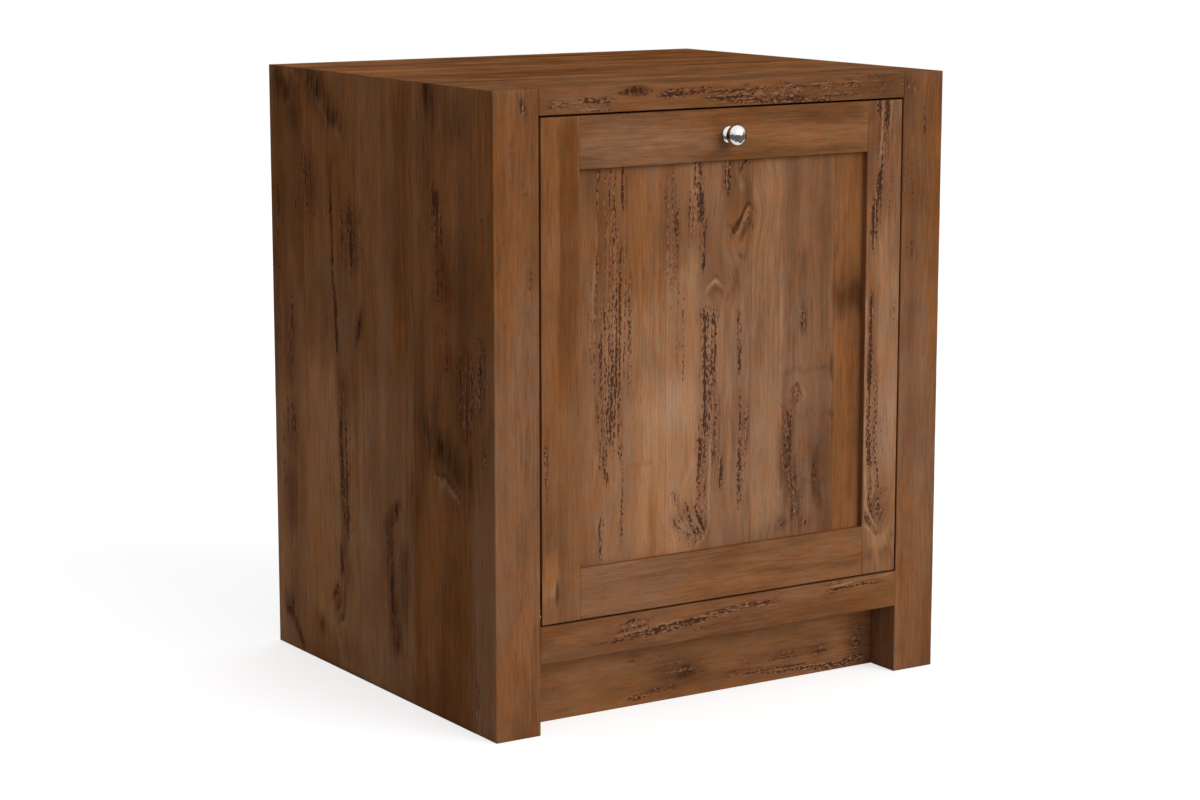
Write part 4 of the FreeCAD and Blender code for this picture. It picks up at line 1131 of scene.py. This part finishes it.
class Wood:
    """The grain, marks and tint at a board's points, and how deep its grain is torn."""

    def __init__(self, points, sides, low, high, along, marked, seed):
        self.points, self.low, self.high, self.along = points, low, high, along
        self.random = np.random.default_rng(seed)
        self.grain = points.copy()
        self.marks, self.tint, self.carve = (np.zeros(points.shape) for _ in range(3))
        home = home_axis(sides, high - low)
        for axis in range(3):
            for side in (-1, 1):
                chosen = (home == axis) & (sides[:, axis] == side)
                self.draw_face(chosen, axis, side, marked.get((axis, side)), 101 * seed + 7 * axis + side)
        self.tint[:, 2] = self.from_heart()
        order = [along] + [axis for axis in range(3) if axis != along]
        self.grain = self.grain[:, order] + self.random.uniform(0.0, 40.0, 3)

    def draw_face(self, chosen, axis, side, marks, seed):
        """Draw one face's marks on its points and tear its grain."""
        axes = list(FACE_AXES[axis])
        face, low, high = self.points[chosen][:, axes] / MM, self.low[axes] / MM, self.high[axes] / MM
        along = 0 if self.along == axes[0] else 1
        field = Field(face[:, 0], face[:, 1], along, seed)
        if marks is None and self.along != axis:
            marks = wild_marks(self.random, low, high, along)
        for mark in marks or ():
            mark.draw(field)
        field.mottle()
        self.marks[chosen] = np.stack([field.torn, field.dark, field.pale], 1)
        self.tint[chosen, :2] = np.stack([field.tone, field.warm], 1)
        self.grain[np.ix_(chosen, axes)] = np.stack([field.grain_a, field.grain_b], 1) * MM
        border = np.minimum(face - low, high - face).min(1)
        ragged = rise(field.uneven(16.0, 4.5, 8), -0.3, 0.5)
        self.carve[chosen, axis] = -side * TEAR_DEPTH * field.torn * ragged * rise(border, 0.8, 5.0)

    def from_heart(self):
        """Distance of each point from the middle of the tree that the board was sawn from."""
        across = [axis for axis in range(3) if axis != self.along]
        extent = (self.high - self.low)[across]
        thin = int(np.argmin(extent))
        heart = (self.low + self.high)[across] / 2
        heart[thin] += self.random.choice([-1, 1]) * self.random.uniform(0.03, 0.09)
        heart[1 - thin] += extent[1 - thin] * self.random.uniform(-0.35, 0.35)
        return np.hypot(*(self.grain[:, axis] - at for axis, at in zip(across, heart)))


def make_board(node, body, looks, box, along, marked, seed, ease=SEAM, pitch=FINE, mitre=None):
    """A board that stands for a node: eased edges, torn grain and its own figure."""
    low, high = box
    slot, material = looks
    lines = [grid_lines(low[axis], high[axis], pitch[int(axis == along)], ease) for axis in range(3)]
    points, quads, sides = box_skin(lines)
    wood = Wood(points, sides, low, high, along, marked, seed)
    shaped = ease_edges(points, low, high, ease, along, seed) + wood.carve
    if mitre:
        shaped = mitre(shaped)
    mesh = bpy.data.meshes.new(node + "_wood")
    mesh.from_pydata(shaped.tolist(), [], quads.tolist())
    mesh.polygons.foreach_set("use_smooth", np.ones(len(quads), bool))
    for name, values in (("grain", wood.grain), ("marks", wood.marks), ("tint", wood.tint)):
        layer = mesh.attributes.new(name, "FLOAT_VECTOR", "POINT")
        layer.data.foreach_set("vector", values.astype(np.float32).ravel())
    mesh.update()
    mesh.materials.append(material)
    board = new_object(node + "_wood", mesh)
    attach(board, body)
    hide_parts(node)


def box_of(node):
    low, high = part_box(node)
    return np.array(low), np.array(high)


def make_frame(body, uprights, rails, marks, seed, pine, ease=SEAM):
    """Two uprights and the two rails that are seen between them; gives the uprights' inner edges."""
    looks, marked = ("pine_front", pine), {FRONT_FACE: marks}
    for index, node in enumerate(uprights):
        outside = {LEFT_FACE: LEFT} if node == "left_front_post" else {}
        make_board(node, body, looks, box_of(node), Z, {**marked, **outside}, seed + index, ease)
    inner = box_of(uprights[0])[1][X], box_of(uprights[1])[0][X]
    for index, node in enumerate(rails, 10):
        low, high = box_of(node)
        low[X], high[X] = inner
        make_board(node, body, looks, (low, high), X, marked, seed + index)
    return inner


def make_front(pine):
    """Posts, rails and plinth."""
    posts, rails = ("left_front_post", "right_front_post"), ("front_top_rail", "front_lower_rail")
    make_frame("cabinet", posts, rails, FRONT, 11, pine, ARRIS)
    plinth = "plinth_board"
    make_board(plinth, "cabinet", ("pine_front", pine), box_of(plinth), X, {FRONT_FACE: PLINTH}, 31)


def mitred(along, slope_axis, outer, end, thick):
    """Cut a board's end, or both ends if the end is symmetrical, back at 45 degrees from its outer face."""

    def shape(points):
        inward = np.clip(np.abs(outer - points[:, slope_axis]), 0.0, thick)
        points[:, along] *= (end - inward) / end
        return points

    return shape


def make_row(stem, edge, looks, along, through, marked, seed):
    """Four boards from a front edge to the back, mitred where the sides meet the top."""
    for index in range(1, 5):
        node = f"{stem}_board_{index}"
        low, high = box_of(node)
        low[Y], edge = edge, high[Y]
        outer = max(low[through], high[through], key=abs)
        cut = mitred(along, through, outer, high[along], high[through] - low[through])
        make_board(node, "cabinet", looks, (low, high), along, marked, seed + index, pitch=COARSE, mitre=cut)


def make_sides(pine):
    """The upright boards of both sides."""
    for hand, marked, seed in (("left", {LEFT_FACE: LEFT}, 30), ("right", {}, 50)):
        edge = box_of(f"{hand}_front_post")[1][Y]
        make_row(f"{hand}_side", edge, ("pine_side", pine), Z, X, marked, seed)


def make_top(pine):
    """The boards from side to side."""
    make_row("top", box_of("front_top_rail")[1][Y], ("pine_top", pine), X, Z, {TOP_FACE: TOP}, 60)


def make_door(pine):
    """Frame of stiles and rails, and the boards of its panel."""
    stiles, rails = ("left_door_stile", "right_door_stile"), ("door_top_rail", "door_bottom_rail")
    near, far = make_frame("door", stiles, rails, DOOR, 71, pine)
    base, head = box_of(rails[1])[1][Z] - PANEL_EMBED, box_of(rails[0])[0][Z] + PANEL_EMBED
    edge = near - PANEL_EMBED
    looks, marked = ("pine_panel", pine), {FRONT_FACE: PANEL}
    for index in range(1, 5):
        node = f"door_panel_board_{index}"
        low, high = box_of(node)
        low[X], high[X] = edge, min(high[X], far + PANEL_EMBED)
        low[Z], high[Z] = base, head
        edge = high[X]
        make_board(node, "door", looks, (low, high), Z, marked, 90 + index, PANEL_SEAM)


# pieces that keep their own shape

# the axis that the grain runs along
PLAIN_PINE = {
    "left_top_cleat": Y,
    "right_top_cleat": Y,
    "rear_top_rail": X,
    "rear_tie_bar": X,
    "left_rear_block": Z,
    "right_rear_block": Z,
    "left_door_stop": Z,
    "right_door_stop": Z,
    "door_head_strip": X,
}
# name, colour, tarnish, polish, how far it is brushed and how far worn
METALS = {
    "plated_steel": ("plated_steel", (0.62, 0.62, 0.61, 1), (0.40, 0.39, 0.36, 1), (0.24, 0.42), 0.35, 0.7),
    "screw_steel": ("zinc_screws", (0.58, 0.57, 0.54, 1), (0.34, 0.31, 0.24, 1), (0.26, 0.46), 0.3, 0.8),
    "brass": ("brass", (0.66, 0.44, 0.16, 1), (0.36, 0.21, 0.08, 1), (0.22, 0.40), 0.3, 0.7),
}
# name, colour, colour of its hollows, waves per metre of its grain and roughness
MOULDED = {
    "brown_plastic": ("brown_plastic", (0.085, 0.040, 0.020, 1), (0.050, 0.022, 0.011, 1), 1800.0, 0.42),
    "magnet": ("ferrite", (0.055, 0.055, 0.060, 1), (0.018, 0.018, 0.020, 1), 2400.0, 0.55),
    "pad_rubber": ("pad_rubber", (0.050, 0.046, 0.042, 1), (0.026, 0.024, 0.022, 1), 1500.0, 0.78),
}


def make_fittings():
    """Give the fittings and small inner pieces their materials."""
    low, high = box_of("knob")
    by_slot = {
        "dowel_wood": make_dowel_wood(),
        # the knob's metal carries a painted reflection in its colour
        "polished_metal": make_knob_metal_painted_reflection((low[Z] + high[Z]) / 2, (high[Z] - low[Z]) / 2),
        **{slot: make_metal(*values) for slot, values in METALS.items()},
        **{slot: make_moulded(*values) for slot, values in MOULDED.items()},
    }
    plain = [make_plain_pine(f"inner_pine_{name}", axis) for axis, name in enumerate("xyz")]
    for part in frame["record"]["subparts"]:
        node = part["node"]
        material = plain[PLAIN_PINE[node]] if node in PLAIN_PINE else by_slot.get(part["material_slot"])
        if material:
            shown = frame["nodes"][node].data
            shown.materials.clear()
            shown.materials.append(material)


bpy.context.scene.view_settings.view_transform = "Standard"
make_camera()
make_lamps()
make_surround()
make_floor()
front_pine = make_pine("distressed_pine", CRISP_TEAR)
make_front(front_pine)
make_sides(make_pine("distressed_side_pine", SOFT_TEAR))
make_top(make_pine("distressed_top_pine", SOFT_TEAR, *TOP_LOOK))
make_door(front_pine)
make_fittings()
